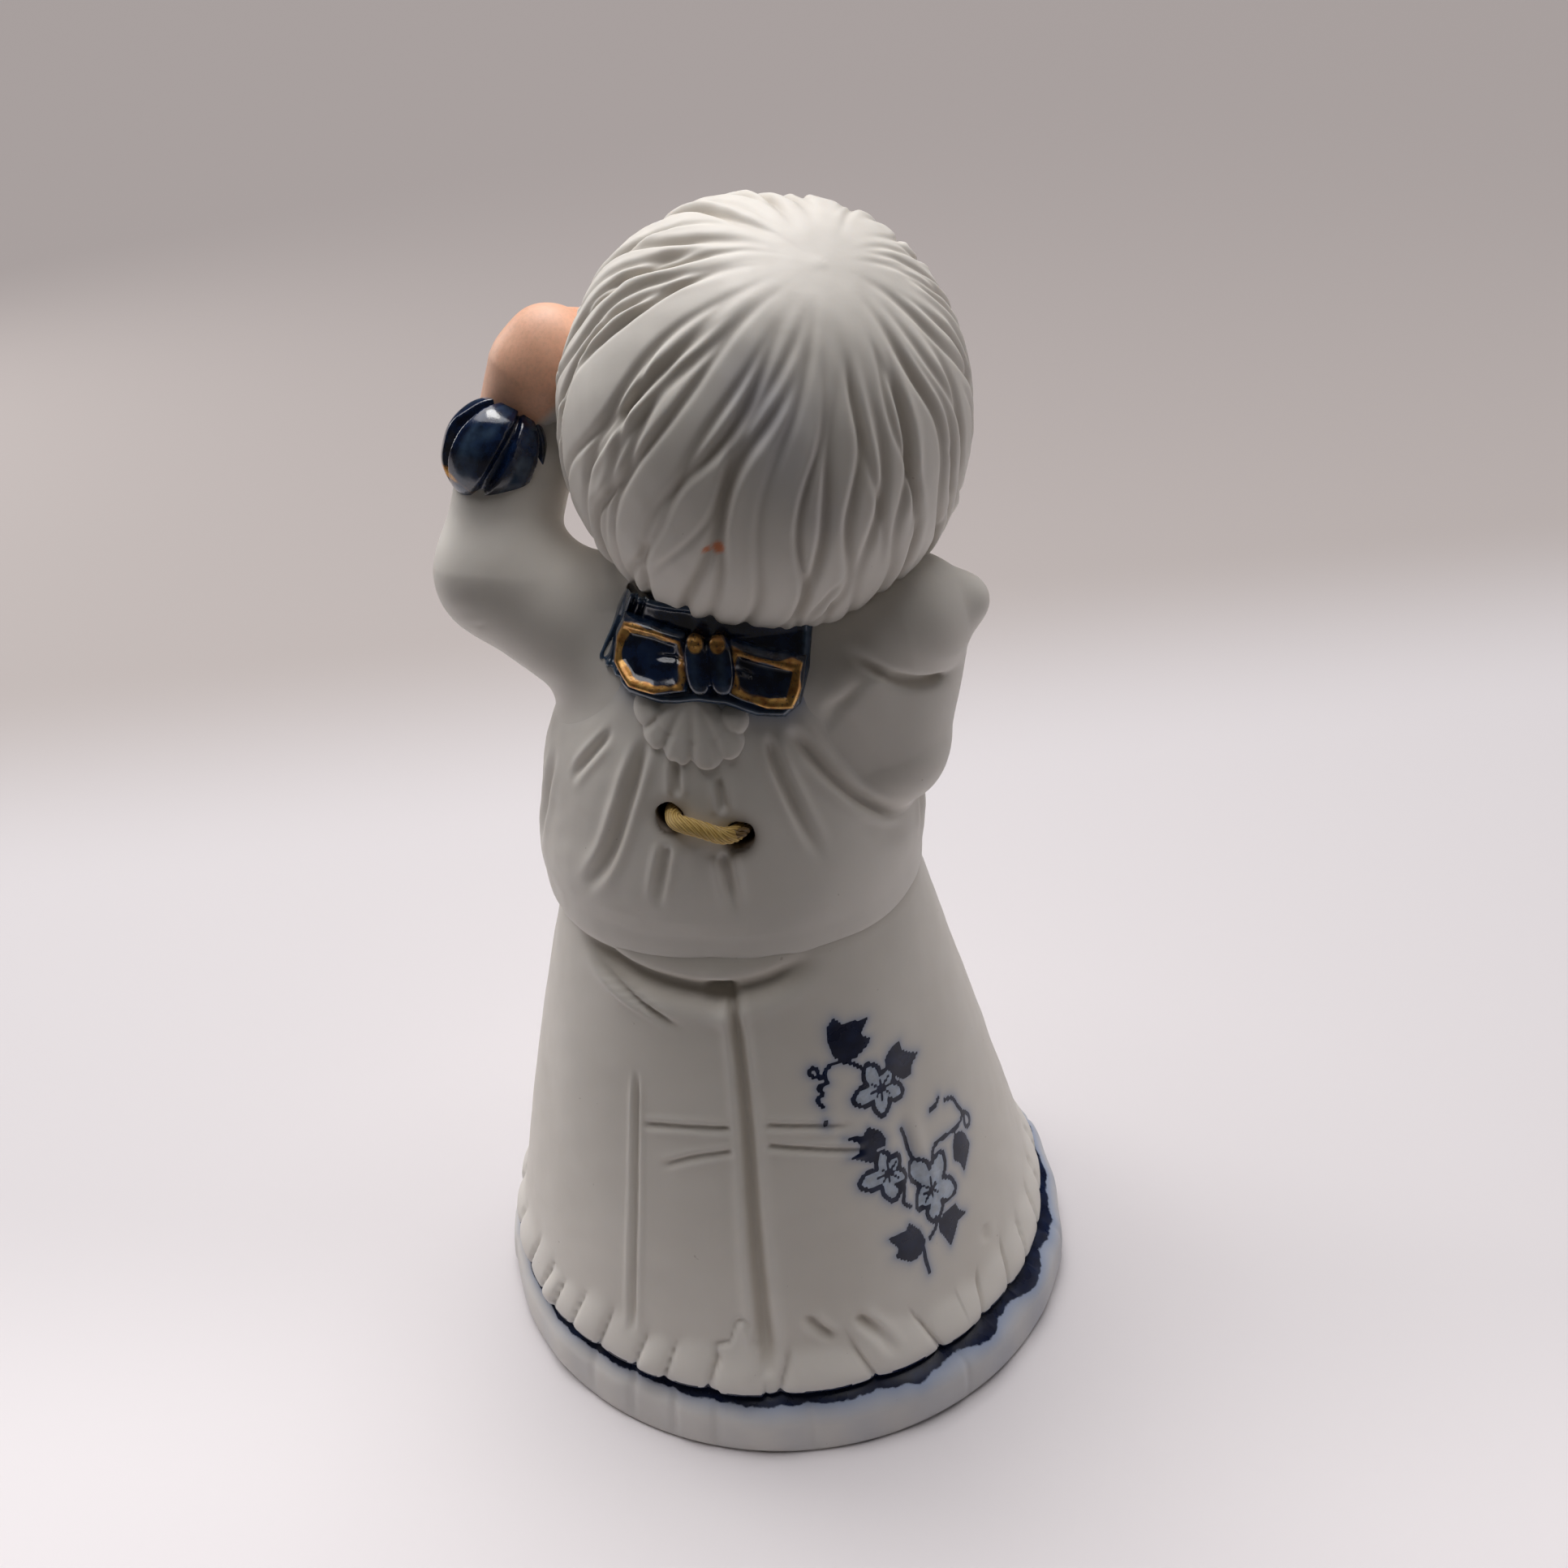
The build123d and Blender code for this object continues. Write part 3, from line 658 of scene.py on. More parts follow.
    def masks(self, p: Array) -> tuple[Array, Array, Array]:
        """How much ink, light wash and blurred halo the sprig leaves at flat points.

        Args:
            p: points on the unrolled cloth, from the sprig's middle, x to the child's right and y up.

        Returns:
            Ink, wash and halo, each from 0 to 1.
        """
        nearest = np.full(len(p), 1e9)
        wash = np.full(len(p), 1e9)
        for leaf in self.leaves:
            nearest = np.minimum(nearest, outline_distance(p, leaf))
        for heart, tips in self.flowers:
            drawn = self.petals(heart, tips)
            edge, _ = line_distance(p, drawn)
            nearest = np.minimum(nearest, edge - self.line_half - 0.03)
            wash = np.minimum(wash, outline_distance(p, [tuple(c) for c in drawn]))
            nearest = np.minimum(nearest, np.hypot(*(p - np.array(heart)).T) - 0.30)
            for k in range(8):
                turn = 2 * math.pi * (k + 0.2 * math.sin(5.0 * k)) / 8
                reach = 1.25 + 0.30 * math.sin(2.3 * k + heart[0])
                tip = (heart[0] + reach * math.cos(turn), heart[1] + reach * math.sin(turn))
                ray, along = line_distance(p, [heart, tip])
                nearest = np.minimum(nearest, ray - 0.16 + 0.05 * along)
        for line in self.tendrils:
            stroke, _ = line_distance(p, rounded_line(line))
            nearest = np.minimum(nearest, stroke - self.line_half)
        ink = 1.0 - ease(nearest, -0.05, 0.07)
        fill = 1.0 - ease(wash, -0.15, 0.1)
        halo = np.exp(-np.maximum(nearest, 0.0) / 0.50) * 0.80
        return ink, fill, halo


@dataclass
class Skirt:
    """The hollow skirt with its carved pleats, puffed hem and foot flange."""

    material: bpy.types.Material
    height: float = 56.0
    hem_radius: float = 33.75
    waist_radius: float = 19.4
    lean: float = 3.0
    wall: float = 2.6
    rim: float = 34.60
    recess: float = 6.95
    ruffle_top: float = 14.2
    chip: tuple[Point2, ...] = ((84.0, 7.0), (83.4, 9.2), (84.6, 11.0), (84.0, 12.6), (87.0, 13.2),
            (88.6, 15.6), (90.6, 16.0), (91.6, 13.4), (93.2, 12.4), (92.4, 10.0), (93.0, 7.0))
    creases: tuple[float, ...] = (38.0, 43.0, 49.5, 57.3, 66.6, 73.1, 82.0, 96.0, 114.0, 128.5, 140.5, 150.0,
            158.0, 168.0)
    folds: tuple[Fold, ...] = (
        Fold(((92.6, 53.8), (94.4, 47.0), (94.7, 37.0), (94.2, 30.0), (94.0, 23.0), (94.0, 9.5)), 0.66, 1.35,
            0.25, (0.10, 0.02)),
        Fold(((65.5, 43.0), (66.2, 28.0), (65.2, 11.0)), 0.34, 0.50, 0.40, (0.12, 0.05)),
        Fold(((38.0, 54.2), (52.0, 53.2), (64.0, 52.4), (77.0, 52.1), (91.0, 51.8), (97.0, 51.9)), 1.15, 1.55,
            0.20, (0.3, 0.12)),
        Fold(((84.0, 51.9), (101.0, 52.3), (122.0, 54.6)), 1.15, 1.15, 0.2, (0.15, 0.4)),
        Fold(((44.0, 52.4), (56.0, 51.2), (68.0, 49.7), (81.0, 47.8)), 0.42, 0.60, 0.35, (0.3, 0.35)),
        Fold(((67.0, 36.6), (78.0, 37.6), (91.0, 37.9)), 0.36, 0.34, 0.5, (0.15, 0.06)),
        Fold(((98.5, 38.1), (110.0, 37.3), (122.0, 35.9)), 0.36, 0.34, 0.5, (0.06, 0.4)),
        Fold(((72.0, 32.4), (81.0, 34.4), (91.0, 35.4)), 0.36, 0.32, 0.4, (0.25, 0.06)),
        Fold(((98.5, 35.9), (110.0, 34.7), (123.0, 32.9)), 0.36, 0.36, 0.5, (0.06, 0.15)),
        Fold(((102.5, 16.2), (105.0, 14.2), (108.5, 12.6)), 0.48, 0.75, 0.3, (0.3, 0.3)),
        Fold(((112.5, 15.2), (116.5, 12.6), (119.5, 9.6)), 0.55, 0.85, 0.3, (0.25, 0.2)),
        Fold(((133.6, 36.0), (133.5, 27.6), (132.9, 20.8)), 0.9, 0.35, 0.3, (0.35, 0.35)),
        Fold(((150.0, 16.0), (148.0, 14.0)), 0.7, 0.2),
        Fold(((4.0, 50.0), (2.0, 34.0), (0.0, 13.0)), 0.7, 0.60, 0.35, (0.15, 0.05)),
        Fold(((-32.0, 51.0), (-35.0, 32.0), (-37.0, 13.0)), 0.8, 0.65, 0.35, (0.15, 0.05)),
        Fold(((-66.0, 52.0), (-68.0, 34.0), (-70.0, 13.0)), 0.6, 0.55, 0.35, (0.15, 0.05)),
        Fold(((-98.0, 51.0), (-97.0, 32.0), (-95.0, 13.0)), 0.9, 0.75, 0.35, (0.15, 0.05)),
        Fold(((-128.0, 50.0), (-130.0, 34.0), (-131.0, 13.0)), 0.6, 0.50, 0.35, (0.15, 0.05)),
        Fold(((-158.0, 51.0), (-162.0, 32.0), (-165.0, 13.0)), 0.8, 0.65, 0.35, (0.15, 0.05)),
        Fold(((-50.0, 36.5), (-75.0, 38.0), (-98.0, 37.0)), 0.55, 0.35, 0.4, (0.2, 0.2)),
    )
    sprig: Sprig = field(default_factory=Sprig)

    def cone(self, z: Array) -> tuple[Array, Array]:
        """Radius and sway of the plain skirt at heights z."""
        s = np.clip(z, 0.0, None) / self.height
        radius = self.hem_radius - (self.hem_radius - self.waist_radius) * s ** 1.1
        return radius, self.lean * s ** 0.6

    def all_creases(self) -> Array:
        """Where the hem's puffs meet, in degrees from 0 to 360."""
        rng = np.random.default_rng(11)
        listed, at = list(self.creases), self.creases[-1]
        while at < 360 + self.creases[0] - 14.0:
            at += rng.uniform(9.0, 13.5)
            listed.append(at)
        return np.array(listed)

    def puffs(self, arc: Array) -> tuple[Array, Array]:
        """How full the hem's puff is at each angle, and which puff it is."""
        creases = self.all_creases()
        turned = np.where(arc < creases[0], arc + 360.0, arc)
        edges = np.append(creases, creases[0] + 360.0)
        which = np.clip(np.searchsorted(edges, turned, side="right") - 1, 0, len(creases) - 1)
        t = (turned - edges[which]) / (edges[which + 1] - edges[which])
        t = np.clip(t, 0.0, 1.0)
        return np.clip(4.0 * t * (1.0 - t), 0.0, 1.0), which

    def columns(self) -> Array:
        """Angles of the mesh's columns, close together where the sprig is printed."""
        spans = ((106.0, 158.0, 0.28), (158.0, 176.0, 0.7), (176.0, 390.0, 1.2), (390.0, 466.0, 0.7))
        return np.mod(np.concatenate([np.arange(a, b, step) for a, b, step in spans]), 360.0)

    def outside(self, arc: Array, z: Array) -> tuple[Array, Array]:
        """Radius and centre of the outer face above the recess, folds and puffs included."""
        radius, sway = self.cone(z)
        slant = np.where((arc > 99.0) & (arc < 136.0), 0.75, -0.6)
        full, which = self.puffs((arc + slant * (z - 8.0)) % 360.0)
        signed = np.where(arc > 180.0, arc - 360.0, arc)
        rng = np.random.default_rng(3)
        lift = rng.uniform(-1.0, 1.5, 64)[which % 64]
        plump = rng.uniform(0.62, 1.1, 64)[which % 64]
        top = self.ruffle_top - 2.4 + 2.0 * full ** 0.7 + lift
        v = np.clip((z - self.recess - 0.25) / (top - self.recess - 0.25), 0.0, 1.0)
        rise, fall = np.clip(v / 0.28, 0.0, 1.0), np.clip((v - 0.28) / 0.72, 0.0, 1.0)
        swell = full ** 0.38 * np.sin(0.5 * math.pi * rise) ** 0.55 * (0.5 + 0.5 * np.cos(math.pi * fall))
        radius = radius + 0.85 * plump * swell + 0.30 * (1 - ease(z, 7.6, 12.5)) * ease(z, 6.9, 7.6)
        crease = (1.0 - ease(full, 0.0, 0.26)) * ease(z, 7.0, 8.0) * (1.0 - ease(z, 10.5, 13.5 + lift))
        radius = radius - 0.40 * crease
        patch = outline_distance(np.stack([signed, z], 1), self.chip)
        radius = radius + 0.30 * (1.0 - ease(patch, -0.30,
                0.10)) - 0.22 * np.exp(-(((patch - 0.1) / 0.28) ** 2))
        for fold in self.folds:
            keep = 1.0 - 0.55 * (1.0 - ease(z, 10.0, 15.0))
            radius = radius + keep * fold.height(signed, z, 0.46)
        flat = np.stack([radius * np.cos(np.radians(arc)), radius * np.sin(np.radians(arc)), z], 1)
        radius = radius + 0.10 * clay(flat, 17.0, 5) + 0.03 * clay(flat, 5.0, 6)
        return radius, sway

    def build(self) -> bpy.types.Object:
        """Builds the skirt as one closed shell and paints its sprig, cobalt line, and dirt and painted shade
        in its hollows.
        """
        arc = self.columns()
        count = len(arc)
        turn = np.radians(arc)
        full, _ = self.puffs(arc)
        wave = 0.18 * np.sin(turn * 3 + 1.0) + 0.20 * np.sin(turn * 9 + 0.6) + 0.12 * np.sin(turn * 23 + 2.0)
        wave = np.minimum(wave, 0.27)
        nick = np.zeros(count)
        for at in (55.0, 64.6, 73.7, 82.1, 100.0, 131.0, 171.0, 205.0, 228.0, 251.0, 277.0, 300.0, 322.0,
                345.0, 18.0):
            off = (arc - at + 180.0) % 360.0 - 180.0
            nick += np.exp(-((off / 0.75) ** 2)) * (0.42 if at in (64.6, 73.7, 82.1) else 0.22)
        edge = 0.35 * (1.0 - full ** 0.5) - 0.15
        rows: list[Array] = []

        def ring(radius: Array | float, z: Array | float, sway: Array | float) -> None:
            """Adds one row of the shell."""
            r = np.broadcast_to(radius, (count,))
            rows.append(
                    np.stack([sway + r * np.cos(turn), r * np.sin(turn), np.broadcast_to(z, (count,))], 1))

        inner_foot = self.rim - 3.2
        for r, z in ((inner_foot + 0.1, 0.0), (inner_foot + 1.2, 0.0), (self.rim - 0.9, 0.0),
                (self.rim - 0.45, 0.08),
                (self.rim - 0.15, 0.3), (self.rim, 0.8), (self.rim + 0.02, 1.6), (self.rim - 0.02, 2.6),
                (self.rim - 0.1, 3.6), (self.rim - 0.22, 4.4), (self.rim - 0.45, 5.0),
                (self.rim - 0.85, 5.45)):
            share = ease(z, 0.2, 2.0)
            ring(r + share * (wave - nick), z + (0.25 * wave if z > 4 else 0.0), 0.0)
        cone_recess, sway_recess = self.cone(np.array([self.recess]))
        for share in (0.08, 0.18, 0.28, 0.38, 0.48, 0.58, 0.68, 0.78, 0.88, 0.96):
            start, end = self.rim - 0.90 + wave - nick, cone_recess[0] - 0.55
            radius = start + (end - start) * share
            rise = 5.50 + (self.recess - 5.50) * share ** 0.8
            ring(radius, rise + edge * share, sway_recess[0] * share)
        ring(cone_recess[0] - 0.55, self.recess + edge, sway_recess[0])
        ring(cone_recess[0] - 0.55, self.recess + 0.22 + edge, sway_recess[0])
        heights = np.concatenate([
            [7.22, 7.30, 7.42, 7.58], np.arange(7.8, 17.3, 0.30), np.arange(17.4, 49.6, 0.30),
            np.arange(49.8, 56.01, 0.40)])
        for z in heights:
            level = z + edge * (1.0 - float(ease(z, 7.5, 13.0)))
            radius, sway = self.outside(arc, np.full(count, z))
            ring(radius, level, sway[0] if np.ndim(sway) else sway)
        outer_rows = len(rows)
        ring(self.waist_radius - 0.3, 56.0, self.lean)
        ring(self.waist_radius - self.wall / 2, 56.2, self.lean)
        ring(self.waist_radius - self.wall / 2, 57.9, self.lean)
        ring(self.waist_radius - self.wall, 57.9, self.lean)
        for z in (52.0, 44.0, 34.0, 24.0, 14.0, 6.0, 1.5, 0.35):
            radius, sway = self.cone(np.array([z]))
            ring(radius[0] - self.wall, z, sway[0])
        points = np.vstack(rows)
        faces = lattice_faces(len(rows), count)
        last = (len(rows) - 1) * count
        faces += [(last + c, last + (c + 1) % count, (c + 1) % count, c) for c in range(count)]
        obj = new_object("skirt_visual", points, faces, self.material, ["bell_skirt"])
        self.paint(obj, outer_rows * count)
        return obj

    def paint(self, obj: bpy.types.Object, outer: int) -> None:
        """Paints the sprig, the bleeding cobalt line in the hem's recess, dirt and painted shade in the
        hollows, a painted shadow under the blouse's hem, and a darker foot edge and inside.
        """
        p = where(obj)
        z = p[:, 2]
        radius, sway = self.cone(z)
        arc = np.degrees(np.arctan2(p[:, 1], p[:, 0] - sway)) % 360.0
        on_outside = np.arange(len(p)) < outer
        ink, wash, halo = (np.zeros(len(p)) for _ in range(3))
        flat = np.stack([np.radians(arc - self.sprig.angle) * np.hypot(p[:, 0] - sway, p[:, 1]),
                (z - self.sprig.height) * 1.035], 1)
        near = on_outside & (np.abs(flat[:, 0]) < 14) & (flat[:, 1] > -18) & (flat[:, 1] < 19)
        ink[near], wash[near], halo[near] = self.sprig.masks(flat[near])
        along = np.stack([arc * 0.6], 1)
        side = ease(arc, 60.0, 118.0) * (1.0 - 0.25 * ease(arc, 168.0, 200.0))
        reach = 0.62 + 0.06 * side + 0.16 * clay(along, 11.0, 23) * side + 0.05 * clay(along, 4.0, 22)
        reach += 0.10 * ease(arc, 138.0, 150.0) * (1.0 - ease(arc, 160.0, 172.0))
        depth = (self.recess - z) / (self.recess - 5.5)
        under = on_outside & (z < 8.0)
        ink = np.maximum(ink, (1.0 - ease(depth, reach - 0.34, reach + 0.34)) * (z < self.recess + 0.75)
                * under)
        tint = (0.80 + 0.20 * side) * np.exp(-np.maximum(depth - reach, 0.0)
                / (0.50 + 0.60 * side)) * (z < 7.6)
        tint += 0.40 * np.exp(-np.maximum(z - self.recess - 0.5, 0.0) / 0.5) * (z >= self.recess)
        veil = 0.22 + 0.34 * ease(arc, 75.0, 150.0) * (1.0 - ease(arc, 190.0, 230.0))
        tint = np.maximum(tint, veil * (0.75 + 0.25 * clay(along, 9.0, 24)) * (z < 7.0))
        halo = np.maximum(halo, np.clip(tint, 0, 1) * on_outside * (z < 12))
        stain(obj, "paint", [ink, wash, halo])
        normal, _ = self.outside(arc, z)
        # Hollows where the surface sinks inside the plain cone are darkened: partly dirt, partly painted
        # shade.
        painted_shade_and_soil = np.clip((radius + 0.25 - normal) / 0.8, 0.0, 1.0) * on_outside * (z > 8)
        # The foot's lowest edge and the whole inside are darkened as well.
        foot = 0.6 * (1.0 - ease(z, 0.0, 0.9)) * on_outside
        inside = 0.25 * (~on_outside)
        # Painted shadow: a dark band on the skirt just below the blouse's overhanging hem.
        painted_shade_and_soil = np.maximum(painted_shade_and_soil, 0.75 * ease(z, 53.6, 55.4) * on_outside)
        stain(obj, "wear_and_shade", [np.maximum(np.maximum(painted_shade_and_soil * 0.85, foot), inside), np.zeros(len(p)),
                np.zeros(len(p))])


@dataclass
class Blouse:
    """The hollow blouse, bloused over the waist, with its gathers and the two cord holes."""

    material: bpy.types.Material
    seat: float = 56.0
    height: float = 32.0
    waist_radius: float = 19.4
    wall: float = 2.6
    overhang: float = 1.35
    turn_under: float = 58.5
    holes: tuple[Point2, ...] = ((6.75, 71.25), (0.05, 69.55))
    hole_radius: float = 1.42
    rings: tuple[tuple[float, float, float, float], ...] = (
        (0.00, 1.045, 0.985, 3.4), (0.08, 1.078, 1.020, 3.6), (0.22, 1.080, 1.020, 3.6),
            (0.44, 1.010, 0.960, 3.4),
        (0.62, 0.925, 0.885, 2.9), (0.78, 0.840, 0.800, 2.0), (0.90, 0.765, 0.710, 1.0),
            (1.00, 0.660, 0.590, 0.4))
    folds: tuple[Fold, ...] = (
        Fold(((55.0, 78.6), (46.0, 74.5), (40.0, 71.5)), 0.55, 0.60, 0.3, (0.3, 0.4)),
        Fold(((68.5, 79.5), (66.0, 72.5), (60.6, 65.6), (50.0, 60.6)), 0.72, 1.00, 0.35, (0.25, 0.35)),
        Fold(((79.5, 68.8), (77.8, 65.5), (76.0, 61.2)), 0.50, 0.75, 0.35, (0.15, 0.5)),
        Fold(((94.9, 68.2), (96.2, 65.5), (97.7, 61.0)), 0.50, 0.70, 0.35, (0.15, 0.5)),
        Fold(((107.0, 79.3), (112.0, 75.5), (118.0, 70.5), (124.0, 65.0)), 0.58, 0.85, 0.35, (0.2, 0.5)),
        Fold(((113.5, 79.6), (121.0, 77.2), (130.0, 73.2), (142.0, 69.0), (160.0, 66.0)), 0.65, 0.95, 0.4,
            (0.2, 0.3)),
        Fold(((79.0, 77.6), (81.3, 73.2)), 0.45, 0.60, 0.3, (0.35, 0.2)),
        Fold(((93.4, 75.6), (95.5, 71.8)), 0.45, 0.65, 0.3, (0.35, 0.2)),
        Fold(((28.0, 74.0), (22.0, 66.0), (18.0, 60.0)), 0.9, 0.55, 0.35, (0.3, 0.4)),
        Fold(((-8.0, 74.0), (-5.0, 66.0), (-6.0, 60.0)), 0.8, 0.50, 0.35, (0.3, 0.4)),
        Fold(((-38.0, 77.0), (-32.0, 68.0), (-30.0, 60.0)), 1.0, 0.65, 0.35, (0.3, 0.4)),
        Fold(((-62.0, 78.0), (-60.0, 70.0), (-58.0, 61.0)), 0.8, 0.55, 0.35, (0.3, 0.4)),
        Fold(((-88.0, 76.0), (-86.0, 68.0), (-87.0, 60.0)), 0.9, 0.60, 0.35, (0.3, 0.4)),
        Fold(((-112.0, 77.0), (-116.0, 68.0), (-120.0, 60.0)), 1.0, 0.60, 0.35, (0.3, 0.4)),
        Fold(((-140.0, 73.0), (-144.0, 66.0), (-146.0, 60.0)), 0.8, 0.50, 0.35, (0.3, 0.4)),
        Fold(((176.0, 72.0), (172.0, 66.0), (170.0, 60.0)), 0.8, 0.50, 0.35, (0.3, 0.4)),
    )

    def section(self, z: Array) -> tuple[Array, Array, Array]:
        """Half width, half depth and sway of the plain blouse at heights z."""
        table = np.array(self.rings)
        share = np.clip((z - self.seat) / self.height, 0.0, 1.0)
        smooth = [np.interp(share, table[:, 0], table[:, k]) for k in (1, 2, 3)]
        blurred = [np.interp(np.clip(share + d, 0, 1), table[:, 0], table[:, k]) for k in (1, 2, 3)
                for d in (-.05, .05)]
        wide, deep, sway = (0.4 * smooth[k] + 0.3 * (blurred[2 * k] + blurred[2 * k + 1]) for k in range(3))
        return wide * self.waist_radius, deep * self.waist_radius, sway

    def swell(self, arc: Array, z: Array) -> Array:
        """How far folds and unevenness move the surface outwards, for signed angles in degrees."""
        out = np.zeros(len(arc))
        for fold in self.folds:
            out += fold.height(arc, z, 0.345)
        ring = np.stack([20 * np.cos(np.radians(arc)), 20 * np.sin(np.radians(arc)), z], 1)
        out += 0.16 * clay(ring, 13.0, 8) + 0.03 * clay(ring, 4.0, 9)
        for x, h in self.holes:
            wide, _, sway = self.section(z)
            d = np.hypot(sway + wide * np.cos(np.radians(arc)) - x, z - h)
            out -= 0.45 * np.exp(-((d / 2.0) ** 4)) * (arc > 0)
        return out

    def distance(self, p: Array) -> Array:
        """Near distance to the blouse's modelled surface, negative inside."""
        z = p[:, 2]
        wide, deep, sway = self.section(z)
        x, y = (p[:, 0] - sway) / wide, p[:, 1] / deep
        arc = np.degrees(np.arctan2(y, x))
        radial = (np.hypot(x, y) - 1.0) * (wide + deep) / 2
        lean = 1.0 - 0.25 * ease(z, 76.0, 88.0)
        return (radial - self.swell(arc, z)) * lean

    def build(self) -> bpy.types.Object:
        """Builds the blouse as one closed shell, drills its holes and stains them."""
        arc = np.concatenate([np.linspace(20.0, 170.0, 300, endpoint=False),
                np.linspace(170.0, 380.0, 200, endpoint=False)])
        signed = np.where(arc > 180.0, arc - 360.0, arc)
        turn, count = np.radians(arc), len(arc)
        drop = 0.28 * np.sin(turn * 5 + 0.4) + 0.22 * np.sin(turn * 3 + 2.0) + 0.14 * np.sin(turn * 9)
        drop -= 0.55 * np.exp(-(((signed - 92.0) / 15.0) ** 2))
        drop += 0.60 * np.exp(-(((signed - 90.0) / 3.2) ** 2)) - 0.45 * np.exp(-(
                ((signed - 101.0) / 7.0) ** 2))
        rows: list[Array] = []

        def ring(grow: Array | float, z: Array | float, at: Array | float | None = None) -> None:
            """Adds one row, grown outwards from the section at height at."""
            level = np.broadcast_to(np.asarray(z, float), (count,))
            where_at = level if at is None else np.broadcast_to(np.asarray(at, float), (count,))
            wide, deep, sway = self.section(where_at)
            rows.append(
                    np.stack([sway + (wide + grow) * np.cos(turn), (deep + grow) * np.sin(turn), level], 1))

        ring(-11.0, 88.15, 88.0)
        ring(-6.0, 88.15, 88.0)
        ring(-2.2, 88.1, 88.0)
        ring(-0.9, 87.9, 88.0)
        for z in np.arange(87.4, self.turn_under, -0.26):
            ring(self.swell(signed, np.full(count, z)), z)
        low = self.seat - self.overhang
        base = self.swell(signed, np.full(count, self.turn_under))
        for t in np.linspace(0.06, 1.0, 14):
            bend = t * math.pi * 0.62
            tuck = 0.35 * max(0.0, math.sin(bend - math.pi / 2))
            z = self.turn_under + (low - self.turn_under) * math.sin(min(bend, math.pi / 2)) + tuck
            pull = -1.5 * (1.0 - math.cos(bend)) ** 1.7 * 0.62
            ring(base * (1.0 - 0.4 * t) + pull, z + drop * ease(t, 0.0, 0.8), 58.0)
        ring(-1.6, self.seat - 0.6 + 0 * drop, 57.0)
        ring(-1.5, self.seat + 0.4, 57.0)
        ring(-self.wall, self.seat + 2.4, 58.0)
        for z in (62.0, 67.0, 72.0, 77.0, 81.0):
            ring(-self.wall, z)
        points = np.vstack(rows)
        faces = [tuple(reversed(f)) for f in lattice_faces(len(rows), count)]
        poles = np.array([[0.4, 0.0, 88.15], [2.0, 0.0, 81.4]])
        faces = capped(faces, len(rows), count)
        obj = new_object("blouse_visual", np.vstack([points, poles]), faces, self.material,
                ["blouse"])
        self.drill(obj)
        self.paint(obj)
        return obj

    def drill(self, obj: bpy.types.Object) -> None:
        """Bores the two cord holes through the back, each a little out of round."""
        for k, (x, z) in enumerate(self.holes):
            count, length = 40, 14.0
            turn = np.linspace(0, 2 * math.pi, count, endpoint=False)
            reach = self.hole_radius * (1 + 0.05 * np.sin(2 * turn + k) + 0.03 * np.sin(5 * turn + 2 * k))
            ends = [np.stack([x + reach * np.cos(turn), np.full(count, y), z + reach * np.sin(turn)], 1)
                    for y in (10.0, 10.0 + length)]
            faces = [(c, count + c, count + (c + 1) % count, (c + 1) % count) for c in range(count)]
            faces += [tuple(range(count)), tuple(range(2 * count - 1, count - 1, -1))]
            mesh = bpy.data.meshes.new("drill")
            mesh.from_pydata((np.vstack(ends) * MM).tolist(), [], faces)
            bit = bpy.data.objects.new("drill", mesh)
            bpy.context.scene.collection.objects.link(bit)
            cut = obj.modifiers.new("bore", "BOOLEAN")
            cut.operation, cut.object, cut.solver = "DIFFERENCE", bit, "EXACT"
            result = bpy.data.meshes.new_from_object(obj.evaluated_get(bpy.context.evaluated_depsgraph_get()))
            obj.modifiers.clear()
            obj.data = result
            bpy.data.objects.remove(bit)
        obj.data.polygons.foreach_set("use_smooth", [True] * len(obj.data.polygons))

    def paint(self, obj: bpy.types.Object) -> None:
        """Browns the holes, hazes the collar's edge blue and darkens the furrows with dirt and painted shade.
        """
        p = where(obj)
        brown = np.zeros(len(p))
        back = p[:, 1] > 5
        for k, (x, z) in enumerate(self.holes):
            d = np.hypot(p[:, 0] - x, p[:, 2] - z + 0.25)
            inside = np.clip(-self.distance(p) / 0.6, 0, 1) * (d < 2.2)
            rim = np.exp(-np.maximum(d - self.hole_radius, 0.0) / (0.22 + 0.12 * k))
            brown = np.maximum(brown, np.maximum(inside, 0.85 * rim) * back * (d < 3.2))
        # Furrows are darkened by their depth: partly dirt, partly painted shade.
        soil_and_shade = np.clip(-self.swell(np.degrees(np.arctan2(p[:, 1], p[:, 0] - 3.0)), p[:, 2]) / 1.2, 0, 1)
        zero = np.zeros(len(p))
        edge = outline_distance(p[:, [0, 2]], COLLAR_OUTLINE)
        haze = 0.8 * np.exp(-np.maximum(edge, 0.0) / 0.8) * back
        stain(obj, "paint", [zero, zero, haze])
        stain(obj, "wear_and_shade", [soil_and_shade * 0.6, brown, zero])


COLLAR_OUTLINE: tuple[Point2, ...] = (
    (10.6, 91.5), (12.6, 88.0), (14.6, 84.6), (14.3, 83.6), (12.6, 83.4), (10.6, 82.2), (7.0, 81.9),
        (3.4, 82.4),
    (1.0, 82.2), (-2.0, 81.0), (-4.6, 80.6), (-6.0, 81.6), (-6.8, 84.6), (-7.2, 88.0), (-7.4, 91.5))


